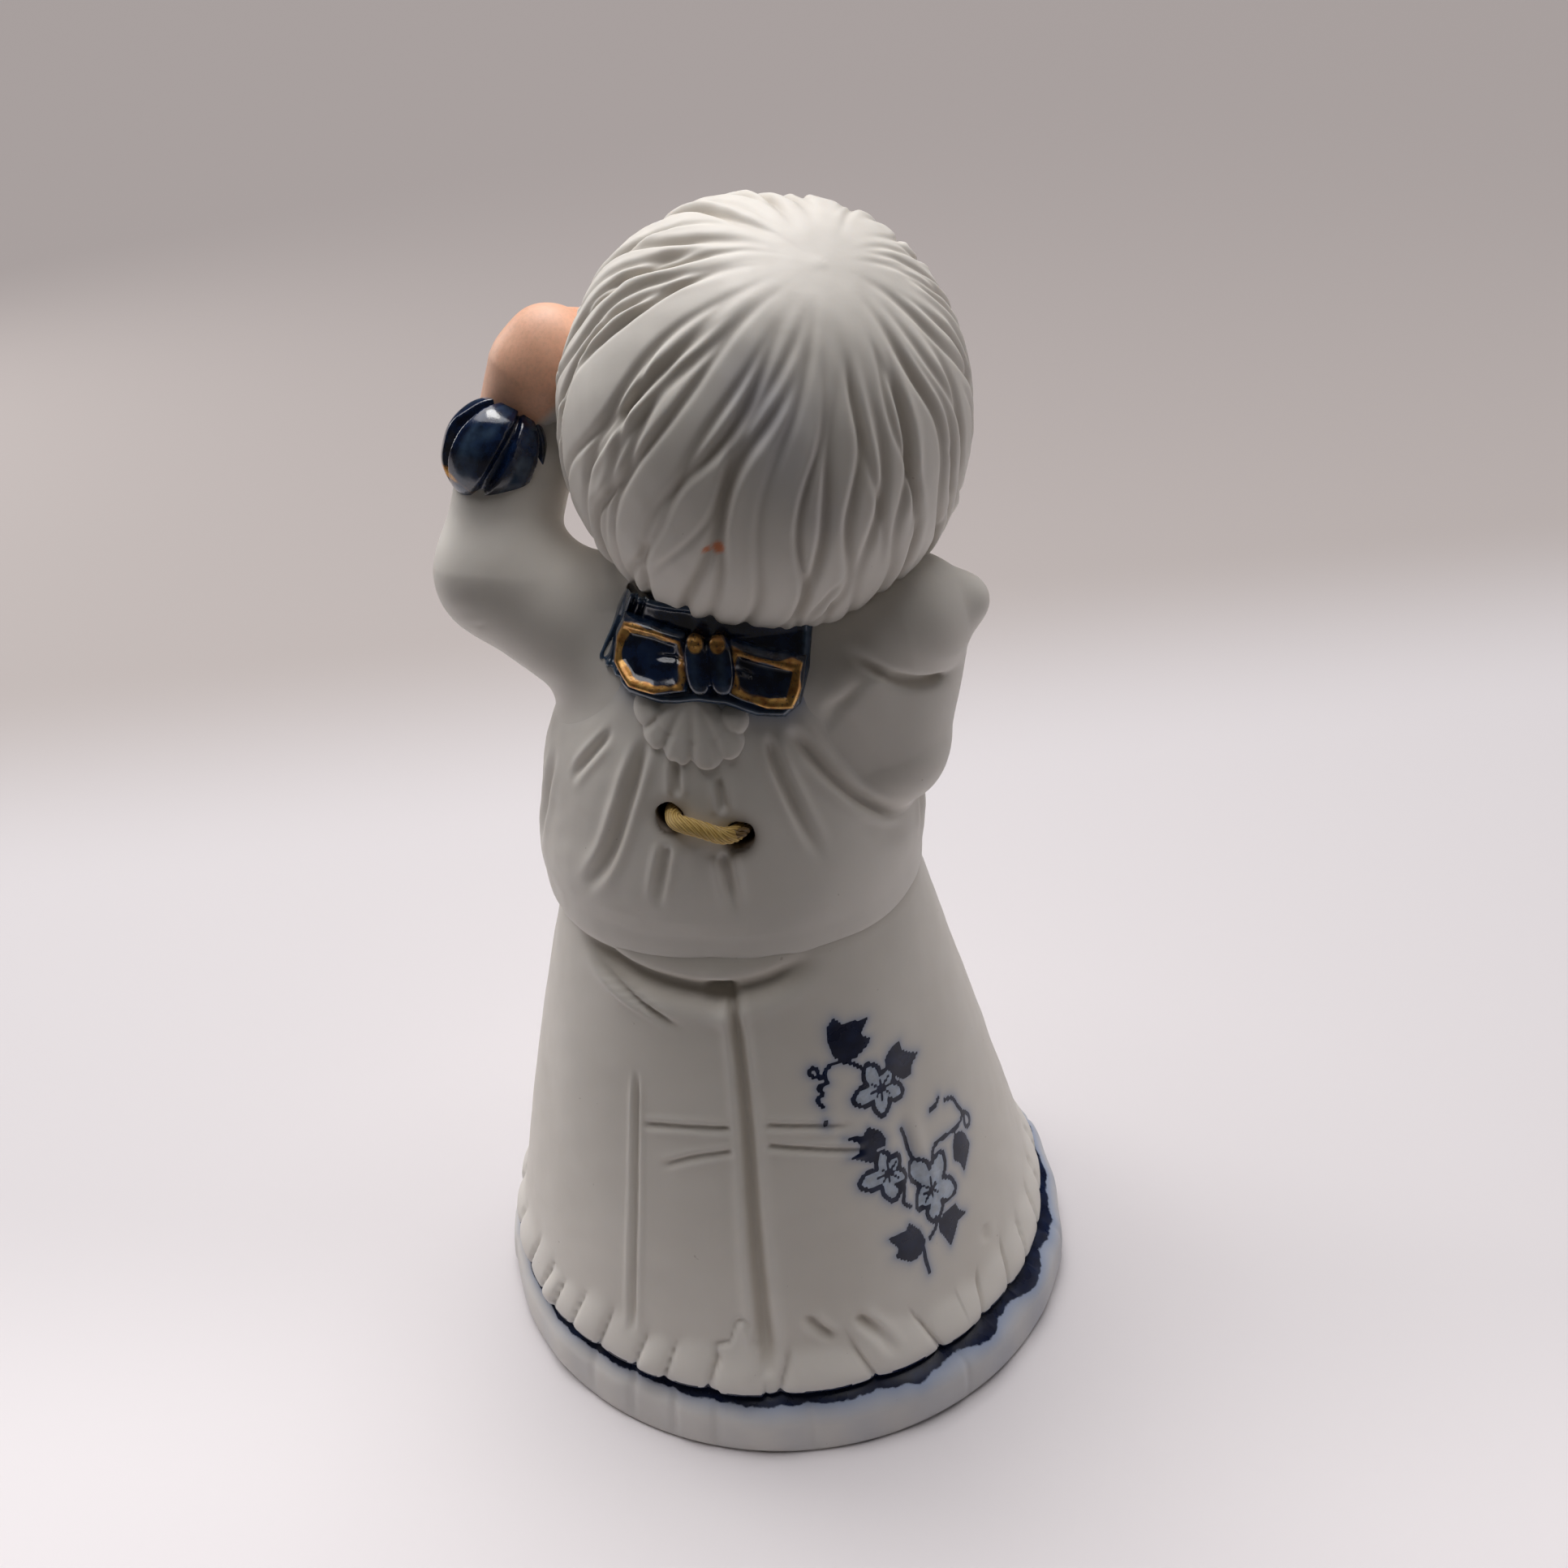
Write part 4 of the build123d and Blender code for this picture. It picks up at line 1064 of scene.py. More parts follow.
# ------------------------------------------------------------------ pieces pressed or modelled by hand
class Modelled:
    """A piece shaped from a form and meshed as a net over it."""

    name: str
    nodes: tuple[str, ...]
    low: Point3
    high: Point3
    slot: str = "white_bisque"
    cell: float = 0.25

    def form(self, p: Array) -> Array:
        """Distance to the piece's surface."""
        raise NotImplementedError

    def paint(self, obj: bpy.types.Object) -> None:
        """Stores the piece's masks."""
        p = where(obj)
        zero = np.zeros(len(p))
        stain(obj, "paint", [zero, zero, zero])
        stain(obj, "wear_and_shade", [self.soil_and_shade(p), zero, zero])

    def soil_and_shade(self, p: Array) -> Array:
        """How dark each point is painted, for dirt and painted shade together; furrows are told by how the
        form curves inwards.
        """
        step = 0.7
        ring = sum(self.form(p + np.array(d) * step) for d in
                ((1, 0, 0), (-1, 0, 0), (0, 1, 0), (0, -1, 0), (0, 0, 1), (0, 0, -1)))
        return np.clip(-(ring / 6 - 0.02) * 2.2, 0.0, 1.0)

    def build(self, material: bpy.types.Material) -> bpy.types.Object:
        """Meshes, paints and places the piece."""
        cell = self.cell * 1.0
        points, faces = surface_net(self.form, self.low, self.high, cell)
        obj = new_object(self.name, points, faces, material, self.nodes)
        self.paint(obj)
        return obj


@dataclass
class LeftSleeve(Modelled):
    """The raised sleeve, bent at the elbow and run smoothly into the blouse and the hair."""

    blouse: Blouse
    name: str = "left_sleeve_visual"
    nodes: tuple[str, ...] = ("left_sleeve",)
    low: Point3 = (2.0, -14.0, 71.0)
    high: Point3 = (36.0, 17.0, 109.0)
    shoulder: Point3 = (11.5, 2.0, 79.9)
    elbow: Point3 = (24.8, 1.4, 89.9)
    wrist: Point3 = (24.0, -1.4, 98.8)
    bridge: Point3 = (18.6, -4.4, 103.2)

    def arm(self, p: Array) -> Array:
        """The sleeve alone."""
        arm = limb(p, self.shoulder, self.elbow, 7.5, 6.5)
        arm = melt(arm, limb(p, self.elbow, self.wrist, 6.4, 4.9), 1.8)
        arm = melt(arm, limb(p, (22.4, -2.6, 97.6), self.bridge, 4.2, 2.9), 1.8)
        for line, width, depth in (
            (((29.5, 5.2, 87.6), (26.8, 7.2, 88.4), (23.4, 7.4, 88.6)), 0.45, 0.60),
            (((26.6, 6.6, 86.4), (25.0, 7.3, 87.4), (24.0, 7.5, 88.4)), 0.40, 0.40),
            (((29.0, -5.5, 88.0), (25.5, -6.5, 90.0), (21.0, -6.0, 90.5)), 0.6, 0.45),
            (((27.0, -6.0, 85.0), (22.5, -6.8, 87.0)), 0.6, 0.4),
        ):
            d, along = line_distance(p, rounded_line(line))
            taper = ease(along, 0.0, 0.3) * (1 - ease(along, 0.7, 1.0))
            arm = arm + depth * taper * np.exp(-((d / width) ** 2))
        return arm + 0.10 * clay(p, 9.0, 31)

    def form(self, p: Array) -> Array:
        """The sleeve melted into the blouse, hollow where the blouse is."""
        arm, blouse = self.arm(p), self.blouse.distance(p)
        whole = melt(arm, blouse + 0.06, 3.0)
        whole = np.maximum(whole, arm - 4.5)
        return np.maximum(whole, -(blouse + 1.0))


@dataclass
class RightSleeve(Modelled):
    """The folded arm's sleeve: a pointed elbow over a drooping pouch of cloth."""

    blouse: Blouse
    name: str = "right_sleeve_visual"
    nodes: tuple[str, ...] = ("right_sleeve",)
    low: Point3 = (-27.0, -17.0, 60.0)
    high: Point3 = (3.0, 19.0, 95.0)

    def arm(self, p: Array) -> Array:
        """The sleeve alone."""
        cone = limb(p, (-7.0, 4.0, 83.5), (-15.5, 4.6, 86.2), 8.0, 6.6)
        cone = melt(cone, limb(p, (-15.0, 4.6, 86.2), (-20.9, 3.6, 87.6), 6.3, 2.7), 1.6)
        pouch = limb(p, (-10.5, 4.5, 81.5), (-13.6, 5.2, 72.6), 8.6, 6.2)
        pouch = melt(pouch, limb(p, (-14.5, 3.5, 82.0), (-14.6, 4.6, 74.0), 6.9, 5.6), 1.5)
        arm = melt(cone, pouch, 0.9)
        arm = melt(arm, limb(p, (-14.0, 1.0, 84.5), (-9.8, -10.0, 84.6), 6.4, 4.4), 2.0)
        for line, width, depth in (
            (((-20.5, 5.5, 82.6), (-17.5, 9.0, 81.6), (-13.5, 11.6, 83.4), (-9.5, 11.6, 86.5)), 0.85, 0.95),
            (((-12.5, 12.2, 84.0), (-9.0, 12.6, 80.5), (-7.0, 14.0, 76.5)), 0.8, 0.5),
            (((-8.0, 13.4, 82.5), (-12.0, 13.2, 76.0), (-14.5, 11.5, 71.0)), 0.9, 0.35),
            (((-19.0, -4.0, 86.0), (-15.0, -7.5, 85.0)), 0.6, 0.4),
            (((-16.0, -4.5, 80.0), (-12.0, -9.5, 81.0)), 0.7, 0.45),
        ):
            d, along = line_distance(p, rounded_line(line))
            taper = ease(along, 0.0, 0.3) * (1 - ease(along, 0.7, 1.0))
            arm = arm + depth * taper * np.exp(-((d / width) ** 2))
        return arm + 0.12 * clay(p, 9.0, 33)

    def form(self, p: Array) -> Array:
        """The sleeve melted into the blouse, hollow where the blouse is."""
        arm, blouse = self.arm(p), self.blouse.distance(p)
        whole = melt(arm, blouse + 0.06, 1.6)
        whole = np.maximum(whole, arm - 3.0)
        return np.maximum(whole, -(blouse + 1.0))


def axes_from(along: Point3, up: Point3 = (0, 1, 0)) -> Array:
    """Rows are three axes at right angles, the last along the given direction."""
    w = np.array(along, float)
    w /= np.linalg.norm(w)
    u = np.cross(np.array(up, float), w)
    u /= np.linalg.norm(u)
    return np.stack([u, np.cross(w, u), w])


@dataclass
class Cuff(Modelled):
    """A puffed cuff with pleats pressed along the arm, glazed cobalt and once gilded at its edge."""

    name: str
    nodes: tuple[str, ...]
    centre: Point3
    along: Point3
    radii: Point3
    pleats: int = 8
    turn: float = 0.35
    slot: str = "cobalt_glaze"
    cell: float = 0.17

    def __post_init__(self) -> None:
        """Sets the space the cuff is looked for in."""
        reach = max(self.radii) + 1.0
        self.low = tuple(c - reach for c in self.centre)
        self.high = tuple(c + reach for c in self.centre)
        self.own = axes_from(self.along)

    def spin(self, p: Array) -> tuple[Array, Array]:
        """Each point's turn about the arm, and its place along it from -1 to 1."""
        q = (p - np.array(self.centre)) @ self.own.T
        return np.arctan2(q[:, 1], q[:, 0]), q[:, 2] / self.radii[2]

    def form(self, p: Array) -> Array:
        """The puff with its pleats."""
        angle, along = self.spin(p)
        body = egg(p, self.centre, self.radii, self.own)
        swirl = self.pleats * (angle + self.turn) + 0.5 * np.sin(2 * angle + 1.0)
        groove = np.clip(np.cos(swirl) - 0.62, 0.0, 1.0) / 0.38
        ends = np.clip(1.0 - (np.abs(along - 0.1) / 1.0) ** 2.5, 0.0, 1.0)
        return body + 1.05 * groove ** 1.1 * ends - 0.16 * np.exp(-((1.0 - groove)
                / 0.10) ** 2) * ends + 0.08 * clay(p, 4.0, 41)

    def paint(self, obj: bpy.types.Object) -> None:
        """Thins the glaze on the crests, gilds the lower edge and hazes the glaze's border."""
        p = where(obj)
        angle, along = self.spin(p)
        swirl = self.pleats * (angle + self.turn) + 0.5 * np.sin(2 * angle + 1.0)
        crest = ease(-np.cos(swirl), -0.1, 0.8) * (0.45 + 0.4 * clay(p, 3.0, 42))
        gilt = np.exp(-(((along + 0.72) / 0.12) ** 2)) * (0.62 + 0.35 * clay(p, 2.2, 43))
        stain(obj, "glaze", [crest, gilt, np.zeros(len(p))])


@dataclass
class LeftHand(Modelled):
    """The hand laid against the side of the hair, fingers together and curled forward."""

    name: str = "left_hand_visual"
    nodes: tuple[str, ...] = ("left_hand",)
    slot: str = "flesh_enamel"
    low: Point3 = (11.0, -15.0, 99.0)
    high: Point3 = (28.0, 4.0, 119.0)
    cell: float = 0.2

    def form(self, p: Array) -> Array:
        """Palm, four fingers and a thumb."""
        palm = egg(p, (19.2, -3.8, 109.3), (4.9, 4.6, 5.7), axes_from((-0.37, -0.15, 0.9)))
        hand = melt(palm, limb(p, (23.0, -2.8, 104.8), (20.8, -3.4, 108.0), 3.3, 4.2), 1.5)
        for k in range(4):
            root = (17.9 + 0.55 * k, -6.8 + 0.35 * k, 112.6 - 1.9 * k)
            tip = (14.9 + 0.85 * k, -10.6 - 0.15 * k, 112.0 - 2.0 * k)
            hand = melt(hand, limb(p, root, tip, 1.25, 0.98), 0.45)
        hand = melt(hand, limb(p, (21.8, -5.6, 106.6), (19.2, -9.0, 104.2), 1.45, 1.1), 0.8)
        return hand + 0.05 * clay(p, 4.0, 51)

    def paint(self, obj: bpy.types.Object) -> None:
        """Leaves the lower back of the hand bare, where the enamel stops short of the sleeve."""
        p = where(obj)
        bare = ease((20.2 - p[:, 0]) * 0.5 - (p[:, 2] - 105.8) * 0.6, 0.6, 1.6) * ease(p[:, 1], -5.0, -2.0)
        zero = np.zeros(len(p))
        stain(obj, "face", [zero, zero, bare])
        stain(obj, "eyes", [zero, zero, zero])


@dataclass
class RightHand(Modelled):
    """The hand held to the chest, fingers closed."""

    name: str = "right_hand_visual"
    nodes: tuple[str, ...] = ("right_hand",)
    slot: str = "flesh_enamel"
    low: Point3 = (-11.0, -21.0, 77.0)
    high: Point3 = (5.0, -7.0, 93.0)
    cell: float = 0.2

    def form(self, p: Array) -> Array:
        """Palm, four closed fingers and a thumb."""
        hand = limb(p, (-6.6, -13.8, 84.8), (-2.6, -14.6, 86.0), 3.2, 3.3)
        for k in range(4):
            root = (-2.0, -15.6, 88.2 - 1.7 * k)
            tip = (1.3 - 0.25 * abs(k - 1.2), -14.2, 88.6 - 1.75 * k)
            hand = melt(hand, limb(p, root, tip, 1.25, 1.0), 0.4)
        hand = melt(hand, limb(p, (-4.6, -15.4, 87.6), (-1.8, -16.2, 89.6), 1.3, 1.0), 0.6)
        return hand + 0.05 * clay(p, 4.0, 52)

    def paint(self, obj: bpy.types.Object) -> None:
        """Plain enamel all over."""
        zero = np.zeros(len(obj.data.vertices))
        stain(obj, "face", [zero, zero, zero])
        stain(obj, "eyes", [zero, zero, zero])


@dataclass
class OnBack(Modelled):
    """A thin piece pressed on to the blouse's back, with its outline seen from behind."""

    blouse: Blouse
    slot: str = "cobalt_glaze"
    cell: float = 0.16

    def plate(self, p: Array, outline: Sequence[Point2], under: float, over: Array | float,
            edge: float) -> Array:
        """A plate of cloth over an outline, from under to over above the blouse, with rounded edges."""
        height = self.blouse.distance(p)
        flat = outline_distance(p[:, [0, 2]], outline)
        flat = np.where(p[:, 1] > 0, flat, 5.0)
        body = np.maximum(height - over, under - height)
        return trim(body, flat, edge)


@dataclass
class BackCollar(OnBack):
    """The sailor-style collar plate with its folded left edge."""

    name: str = "back_collar_visual"
    nodes: tuple[str, ...] = ("back_collar",)
    low: Point3 = (-9.5, 0.0, 78.0)
    high: Point3 = (16.5, 19.0, 91.0)

    def form(self, p: Array) -> Array:
        """The plate, with ridges along its left edge."""
        ridge = 0.0
        for shift, depth in ((0.95, 0.34), (1.8, 0.38), (2.8, 0.30)):
            line = [(14.9 - shift, 83.6 - 0.6 * shift), (12.4 - shift, 88.5), (11.2 - shift, 91.5)]
            d, _ = line_distance(p[:, [0, 2]], line)
            ridge = ridge - depth * np.exp(-((d / 0.26) ** 2))
        rim = outline_distance(p[:, [0, 2]], COLLAR_OUTLINE)
        bead = 0.22 * np.exp(-(((rim + 0.75) / 0.35) ** 2))
        return self.plate(p, COLLAR_OUTLINE, -0.5, 0.95 + ridge + bead + 0.05 * clay(p, 3.0, 61), 0.8)

    def paint(self, obj: bpy.types.Object) -> None:
        """Thins the glaze on the rim and the folded edge."""
        p = where(obj)
        rim = outline_distance(p[:, [0, 2]], COLLAR_OUTLINE)
        thin = 0.75 * np.exp(-(((rim + 0.55) / 0.42) ** 2)) + 0.45 * ease(p[:, 0], 9.6, 12.6)
        low = self.blouse.distance(p)
        haze = (1.0 - ease(low, 0.0, 0.28)) * 0.9
        stain(obj, "glaze", [thin, np.zeros(len(p)), haze])


@dataclass
class BowLoop(OnBack):
    """One loop of the bow, dished inside its raised border."""

    name: str = "bow_loop"
    nodes: tuple[str, ...] = ()
    outline: tuple[Point2, ...] = ()
    pinch: Point2 = (2.2, 86.0)

    def __post_init__(self) -> None:
        """Sets the space the loop is looked for in."""
        xs, zs = zip(*self.outline)
        self.low = (min(xs) - 1.0, 4.0, min(zs) - 1.0)
        self.high = (max(xs) + 1.0, 19.0, max(zs) + 1.0)

    def form(self, p: Array) -> Array:
        """The loop: a bordered pillow with a crease running out of the knot."""
        flat = p[:, [0, 2]]
        rim = outline_distance(flat, self.outline)
        over = 1.75 + 0.30 * np.exp(-(((rim + 0.55) / 0.50) ** 2)) - 0.22 * ease(-rim, 0.9, 1.6)
        middle = np.mean(np.array(self.outline), 0)
        crease, along = line_distance(flat, [self.pinch, tuple(middle)])
        over = over - 0.30 * np.exp(-((crease / 0.30) ** 2)) * (1 - ease(along, 0.5, 1.0))
        return self.plate(p, self.outline, 0.4, over + 0.04 * clay(p, 2.5, 63), 0.7)

    def paint(self, obj: bpy.types.Object) -> None:
        """Gilds the border in an uneven, worn stroke and thins the glaze on its crests."""
        p = where(obj)
        flat = p[:, [0, 2]]
        rim = outline_distance(flat, self.outline)
        away = np.hypot(flat[:, 0] - self.pinch[0], flat[:, 1] - self.pinch[1])
        height = self.blouse.distance(p)
        stroke = np.exp(-(((rim + 0.72) / (0.50 + 0.16 * clay(p, 3.0, 64))) ** 2))
        gilt = stroke * (0.62 + 0.45 * ease(away, 2.6, 5.5) + 0.18 * clay(p, 1.4, 65)) * (height > 1.2)
        thin = 0.35 * np.exp(-((rim / 0.35) ** 2)) + 0.25 * clay(p, 2.0, 66)
        stain(obj, "glaze", [thin, gilt, np.zeros(len(p))])


@dataclass
class BowKnot(OnBack):
    """The knot: two puffs side by side, with a gilded dab on top of each."""

    name: str = "bow_knot_visual"
    nodes: tuple[str, ...] = ("bow_knot",)
    low: Point3 = (-1.8, 4.0, 82.0)
    high: Point3 = (6.0, 19.0, 90.4)
    centre: Point2 = (2.25, 86.2)

    def form(self, p: Array) -> Array:
        """Two upright pillows with a furrow between them."""
        height = self.blouse.distance(p)
        x = p[:, 0] - self.centre[0] - 0.12 * (p[:, 2] - self.centre[1])
        z = (p[:, 2] - self.centre[1]) / 2.45
        puffs = None
        for side in (-1, 1):
            q = np.stack([(x - side * 1.10) / 1.26, z, (height - 1.7) / 1.0], 1)
            d = (np.linalg.norm(np.sign(q) * np.abs(q) ** 1.25, axis=1) - 1.0) * 0.85
            puffs = d if puffs is None else melt(puffs, d, 0.18)
        return np.where(p[:, 1] > 0, puffs, 5.0)

    def paint(self, obj: bpy.types.Object) -> None:
        """Dabs gold on the top of each puff."""
        p = where(obj)
        x = p[:, 0] - self.centre[0] - 0.12 * (p[:, 2] - self.centre[1])
        gilt = np.zeros(len(p))
        for side in (-1, 1):
            gilt = np.maximum(gilt, 1.25 - np.hypot((x - side * 1.05) / 0.95, (p[:, 2] - 88.1) / 0.85))
        crest = 0.55 * np.exp(-((np.abs(np.abs(x) - 1.3) / 0.4) ** 2))
        stain(obj, "glaze", [crest, gilt, np.zeros(len(p))])


@dataclass
class FrontCollar(OnBack):
    """The collar's front, closed in a plain point under the chin."""

    name: str = "front_collar_visual"
    nodes: tuple[str, ...] = ("front_collar",)
    low: Point3 = (-4.0, -18.0, 79.0)
    high: Point3 = (13.0, -2.0, 90.5)
    outline: tuple[Point2, ...] = ((-1.8, 88.6), (-1.4, 84.6), (1.6, 82.6), (4.6, 82.0), (8.0, 83.0),
            (10.4, 85.6), (10.8, 88.6))

    def form(self, p: Array) -> Array:
        """The plate with a raised rim."""
        mirrored = p * np.array([1.0, -1.0, 1.0])
        height = self.blouse.distance(p)
        rim = outline_distance(p[:, [0, 2]], self.outline)
        over = 0.95 + 0.2 * np.exp(-(((rim + 0.7) / 0.35) ** 2))
        body = np.maximum(height - over, -0.5 - height)
        flat = np.where(mirrored[:, 1] > 0, rim, 5.0)
        return trim(body, flat, 0.8)

    def paint(self, obj: bpy.types.Object) -> None:
        """Gilds the rim and thins the glaze on its crest."""
        p = where(obj)
        rim = outline_distance(p[:, [0, 2]], self.outline)
        gilt = np.exp(-(((rim + 0.75) / 0.3) ** 2)) * (0.75 + 0.3 * clay(p, 2.0, 67))
        stain(obj, "glaze", [0.5 * np.exp(-((rim / 0.4) ** 2)), gilt, np.zeros(len(p))])


@dataclass
class NeckFrill(OnBack):
    """The white frill below the bow, a fan of shallow scallops."""

    name: str = "neck_frill_visual"
    nodes: tuple[str, ...] = ("neck_frill",)
    slot: str = "white_bisque"
    low: Point3 = (-3.0, 6.0, 73.5)
    high: Point3 = (12.5, 19.5, 85.0)
    hub: Point2 = (4.1, 84.4)
    scallops: tuple[tuple[float, float, float], ...] = ((8.6, 81.0, 1.6), (7.7, 79.3, 1.6), (5.5, 78.3, 1.8),
            (2.9, 78.0, 1.9), (0.9, 78.7, 1.7), (0.3, 80.6, 1.5))

    def form(self, p: Array) -> Array:
        """Scallops spread from a hub under the knot, with furrows between them."""
        flat = p[:, [0, 2]]
        fan = outline_distance(flat, [self.hub] + [(x, z) for x, z, _ in self.scallops])
        for x, z, r in self.scallops:
            fan = np.minimum(fan, np.hypot(flat[:, 0] - x, flat[:, 1] - z) - r)
        over = 0.55 + 0.25 * ease(-fan, 0.0, 1.2)
        ends = [((a[0] + b[0]) / 2, (a[1] + b[1]) / 2) for a, b in zip(self.scallops, self.scallops[1:])]
        for k, end in enumerate(ends):
            far = (end[0] + (end[0] - self.hub[0]) * 0.35, end[1] + (end[1] - self.hub[1]) * 0.35)
            d, along = line_distance(flat, [self.hub, far])
            over = over - 0.24 * np.exp(-((d / (0.32 + 0.05 * k % 2)) ** 2)) * ease(along, 0.15, 0.6)
        height = self.blouse.distance(p)
        body = np.maximum(height - over, -0.5 - height)
        return trim(body, np.where(p[:, 1] > 0, fan, 5.0), 0.75)


@dataclass
class Hair:
    """The bowl-cut hair, carved in soft locks that run from a whorl on the crown."""

    material: bpy.types.Material
    centre: Point3 = (-2.3, 0.2, 104.35)
    radii: Point3 = (19.45, 20.0, 20.0)
    whorl: Point3 = (-8.6, 9.6, 120.3)
    nape: float = 87.6
    fringe: float = 108.5
    skull: float = 17.85

    def reach(self, way: Array) -> Array:
        """Distance from the centre to the plain hair along unit directions."""
        plain = 1.0 / np.linalg.norm(way / np.array(self.radii), axis=-1)
        full = sum(np.clip(way @ np.array(side), 0.0, 1.0) ** 6
                for side in ((-0.66, -0.30, 0.69), (0.60, -0.30, 0.74)))
        return plain * (1.0 + 0.035 * full)

    def hairline(self, spin: Array) -> Array:
        """Height of the hair's lower edge for compass angles in degrees, -90 at the face."""
        off = np.abs((spin + 90.0 + 180.0) % 360.0 - 180.0)
        face = 1.0 - ease(off, 30.0, 46.0)
        side = 1.0 - ease(off, 62.0, 100.0)
        low = self.nape + 2.6 * side * (1 - face)
        return low + (self.fringe - low) * face

    def locks(self, turn: Array, drop: Array) -> Array:
        """Relief of the carved locks for angles round the whorl and angles down from it, in radians."""
        rng = np.random.default_rng(20)
        relief = np.zeros(turn.shape)
        count = 46
        for k in range(count + 44):
            main = k < count
            at = 2 * math.pi * (k + rng.uniform(-0.30, 0.30)) / count if main else rng.uniform(0, 2 * math.pi)
            start = rng.uniform(0.10, 0.42) if main else rng.uniform(0.35, 1.5)
            end = rng.uniform(2.2, 3.3) if main else start + rng.uniform(0.4, 1.1)
            depth = rng.uniform(0.42, 0.78) if main else rng.uniform(0.24, 0.55)
            width = rng.uniform(0.34, 0.54) if main else rng.uniform(0.28, 0.46)
            bow = rng.uniform(-0.12, 0.12) * np.sin(drop * rng.uniform(1.6, 3.2) + rng.uniform(0, 6.3))
            wander = 0.035 * np.sin(drop * rng.uniform(5.0, 9.0) + rng.uniform(0, 6.3))
            off = (turn - at - bow - wander + math.pi) % (2 * math.pi) - math.pi
            arc = off * np.maximum(np.sin(np.clip(drop, 0.05, math.pi - 0.35)), 0.12) * 19.4
            side = 1.0 if rng.uniform() < 0.5 else -1.0
            groove = -np.exp(-((arc / width) ** 2)) + 0.20 * np.exp(-(
                    ((arc - side * 1.9 * width) / (1.2 * width)) ** 2))
            press = 0.75 + 0.25 * np.sin(drop * rng.uniform(3.0, 6.0) + rng.uniform(0, 6.3))
            fade = ease(drop, start, start + (0.62 if main else 0.25)) * (1.0 - ease(drop, end - 0.35, end))
            relief += depth * press * groove * fade
        return relief

    def build(self) -> bpy.types.Object:
        """Builds the hair as one closed cap with a rolled lower edge."""
        columns, rows = 560, 150
        axis = np.array(self.whorl) - np.array(self.centre)
        own = axes_from(tuple(axis))
        turn = np.linspace(0, 2 * math.pi, columns, endpoint=False)
        fine = np.linspace(0.05, 3.1, 400)
        limit = np.zeros(columns)
        for c, t in enumerate(turn):
            way = self.way(np.full(fine.shape, t), fine, own)
            place = np.array(self.centre) + way * self.reach(way)[:, None]
            spin = np.degrees(np.arctan2(place[:, 1], place[:, 0] - self.centre[0]))
            below = place[:, 2] < self.hairline(spin)
            limit[c] = fine[np.argmax(below)] if below.any() else fine[-1]
        limit = np.convolve(np.concatenate([limit[-4:], limit, limit[:4]]), np.ones(9) / 9, "valid")
        cut = self.locks(turn, limit)
        limit = limit + 0.006 * cut + 0.003 * np.sin(turn * 31)
        grid = []
        shares = np.concatenate([[0.012, 0.03, 0.055], np.linspace(0.08, 1.0, rows)])
        for share in shares:
            drop = limit * share
            way = self.way(turn, drop, own)
            relief = self.locks(turn, drop) * (1.0 - 0.75 * ease(share, 0.88, 1.0))
            roll = 1.0 - ease(share, 0.965, 1.0) * 0.030
            flat = way * 20.0
            bump = 0.12 * clay(flat, 13.0, 71) + 0.03 * clay(flat, 3.0, 72)
            grid.append(np.array(self.centre) + way * ((self.reach(way) + relief + bump) * roll)[:, None])
        for share, radius in ((1.004, 18.5), (0.998, 18.1), (0.97, self.skull), (0.7, self.skull),
                (0.35, self.skull)):
            way = self.way(turn, limit * share, own)
            grid.append(np.array(self.centre) + way * radius)
        points = np.vstack(grid)
        faces = [tuple(reversed(f)) for f in lattice_faces(len(grid), columns)]
        top_way = own[2]
        poles = np.array([np.array(self.centre) + top_way * self.reach(top_way[None])[0],
                np.array(self.centre) + top_way * self.skull])
        faces = capped(faces, len(grid), columns)
        obj = new_object("hair_visual", np.vstack([points, poles]), faces, self.material,
                ["hair"])
        self.paint(obj, own)
        return obj

    def way(self, turn: Array, drop: Array, own: Array) -> Array:
        """Unit directions for angles round and down from the whorl."""
        local = np.stack([np.sin(drop) * np.cos(turn), np.sin(drop) * np.sin(turn), np.cos(drop)], -1)
        return local @ own

    def paint(self, obj: bpy.types.Object, own: Array) -> None:
        """Darkens the furrows with dirt and painted shade and leaves a faint blue smudge and two rust specks
        at the back.
        """
        p = where(obj)
        q = (p - np.array(self.centre)) @ own.T
        drop = np.arctan2(np.hypot(q[:, 0], q[:, 1]), q[:, 2])
        relief = self.locks(np.arctan2(q[:, 1], q[:, 0]), drop)
        # Lock furrows are darkened: partly dirt, partly painted shade.
        soil_and_shade = np.clip(-relief / 0.55, 0, 1) * 0.85
        smudge = np.zeros(len(p))
        for spot, size, depth in (((-3.2, 17.5, 113.0), 2.6, 0.35), ((-5.2, 18.3, 110.0), 3.4, 0.55),
                ((-6.0, 18.8, 105.5), 3.0, 0.32), ((-9.1, 17.8, 101.5), 2.4, 0.22)):
            smudge += depth * np.exp(-((np.linalg.norm(p - np.array(spot), axis=1) / size) ** 2))
        rust = np.zeros(len(p))
        for spot, size in (((-2.6, 19.2, 102.9), 0.34), ((-2.3, 19.2, 102.2), 0.24),
                ((-1.75, 19.1, 101.3), 0.30), ((0.0, 18.7, 99.1), 0.40), ((1.15, 18.5, 98.9), 0.28)):
            away = np.linalg.norm(p - np.array(spot), axis=1)
            rust = np.maximum(rust, 0.95 * (1 - ease(away, size * 0.8, size * 2.0)))
        zero = np.zeros(len(p))
        stain(obj, "paint", [zero, zero, zero])
        stain(obj, "wear_and_shade", [soil_and_shade, rust, smudge])


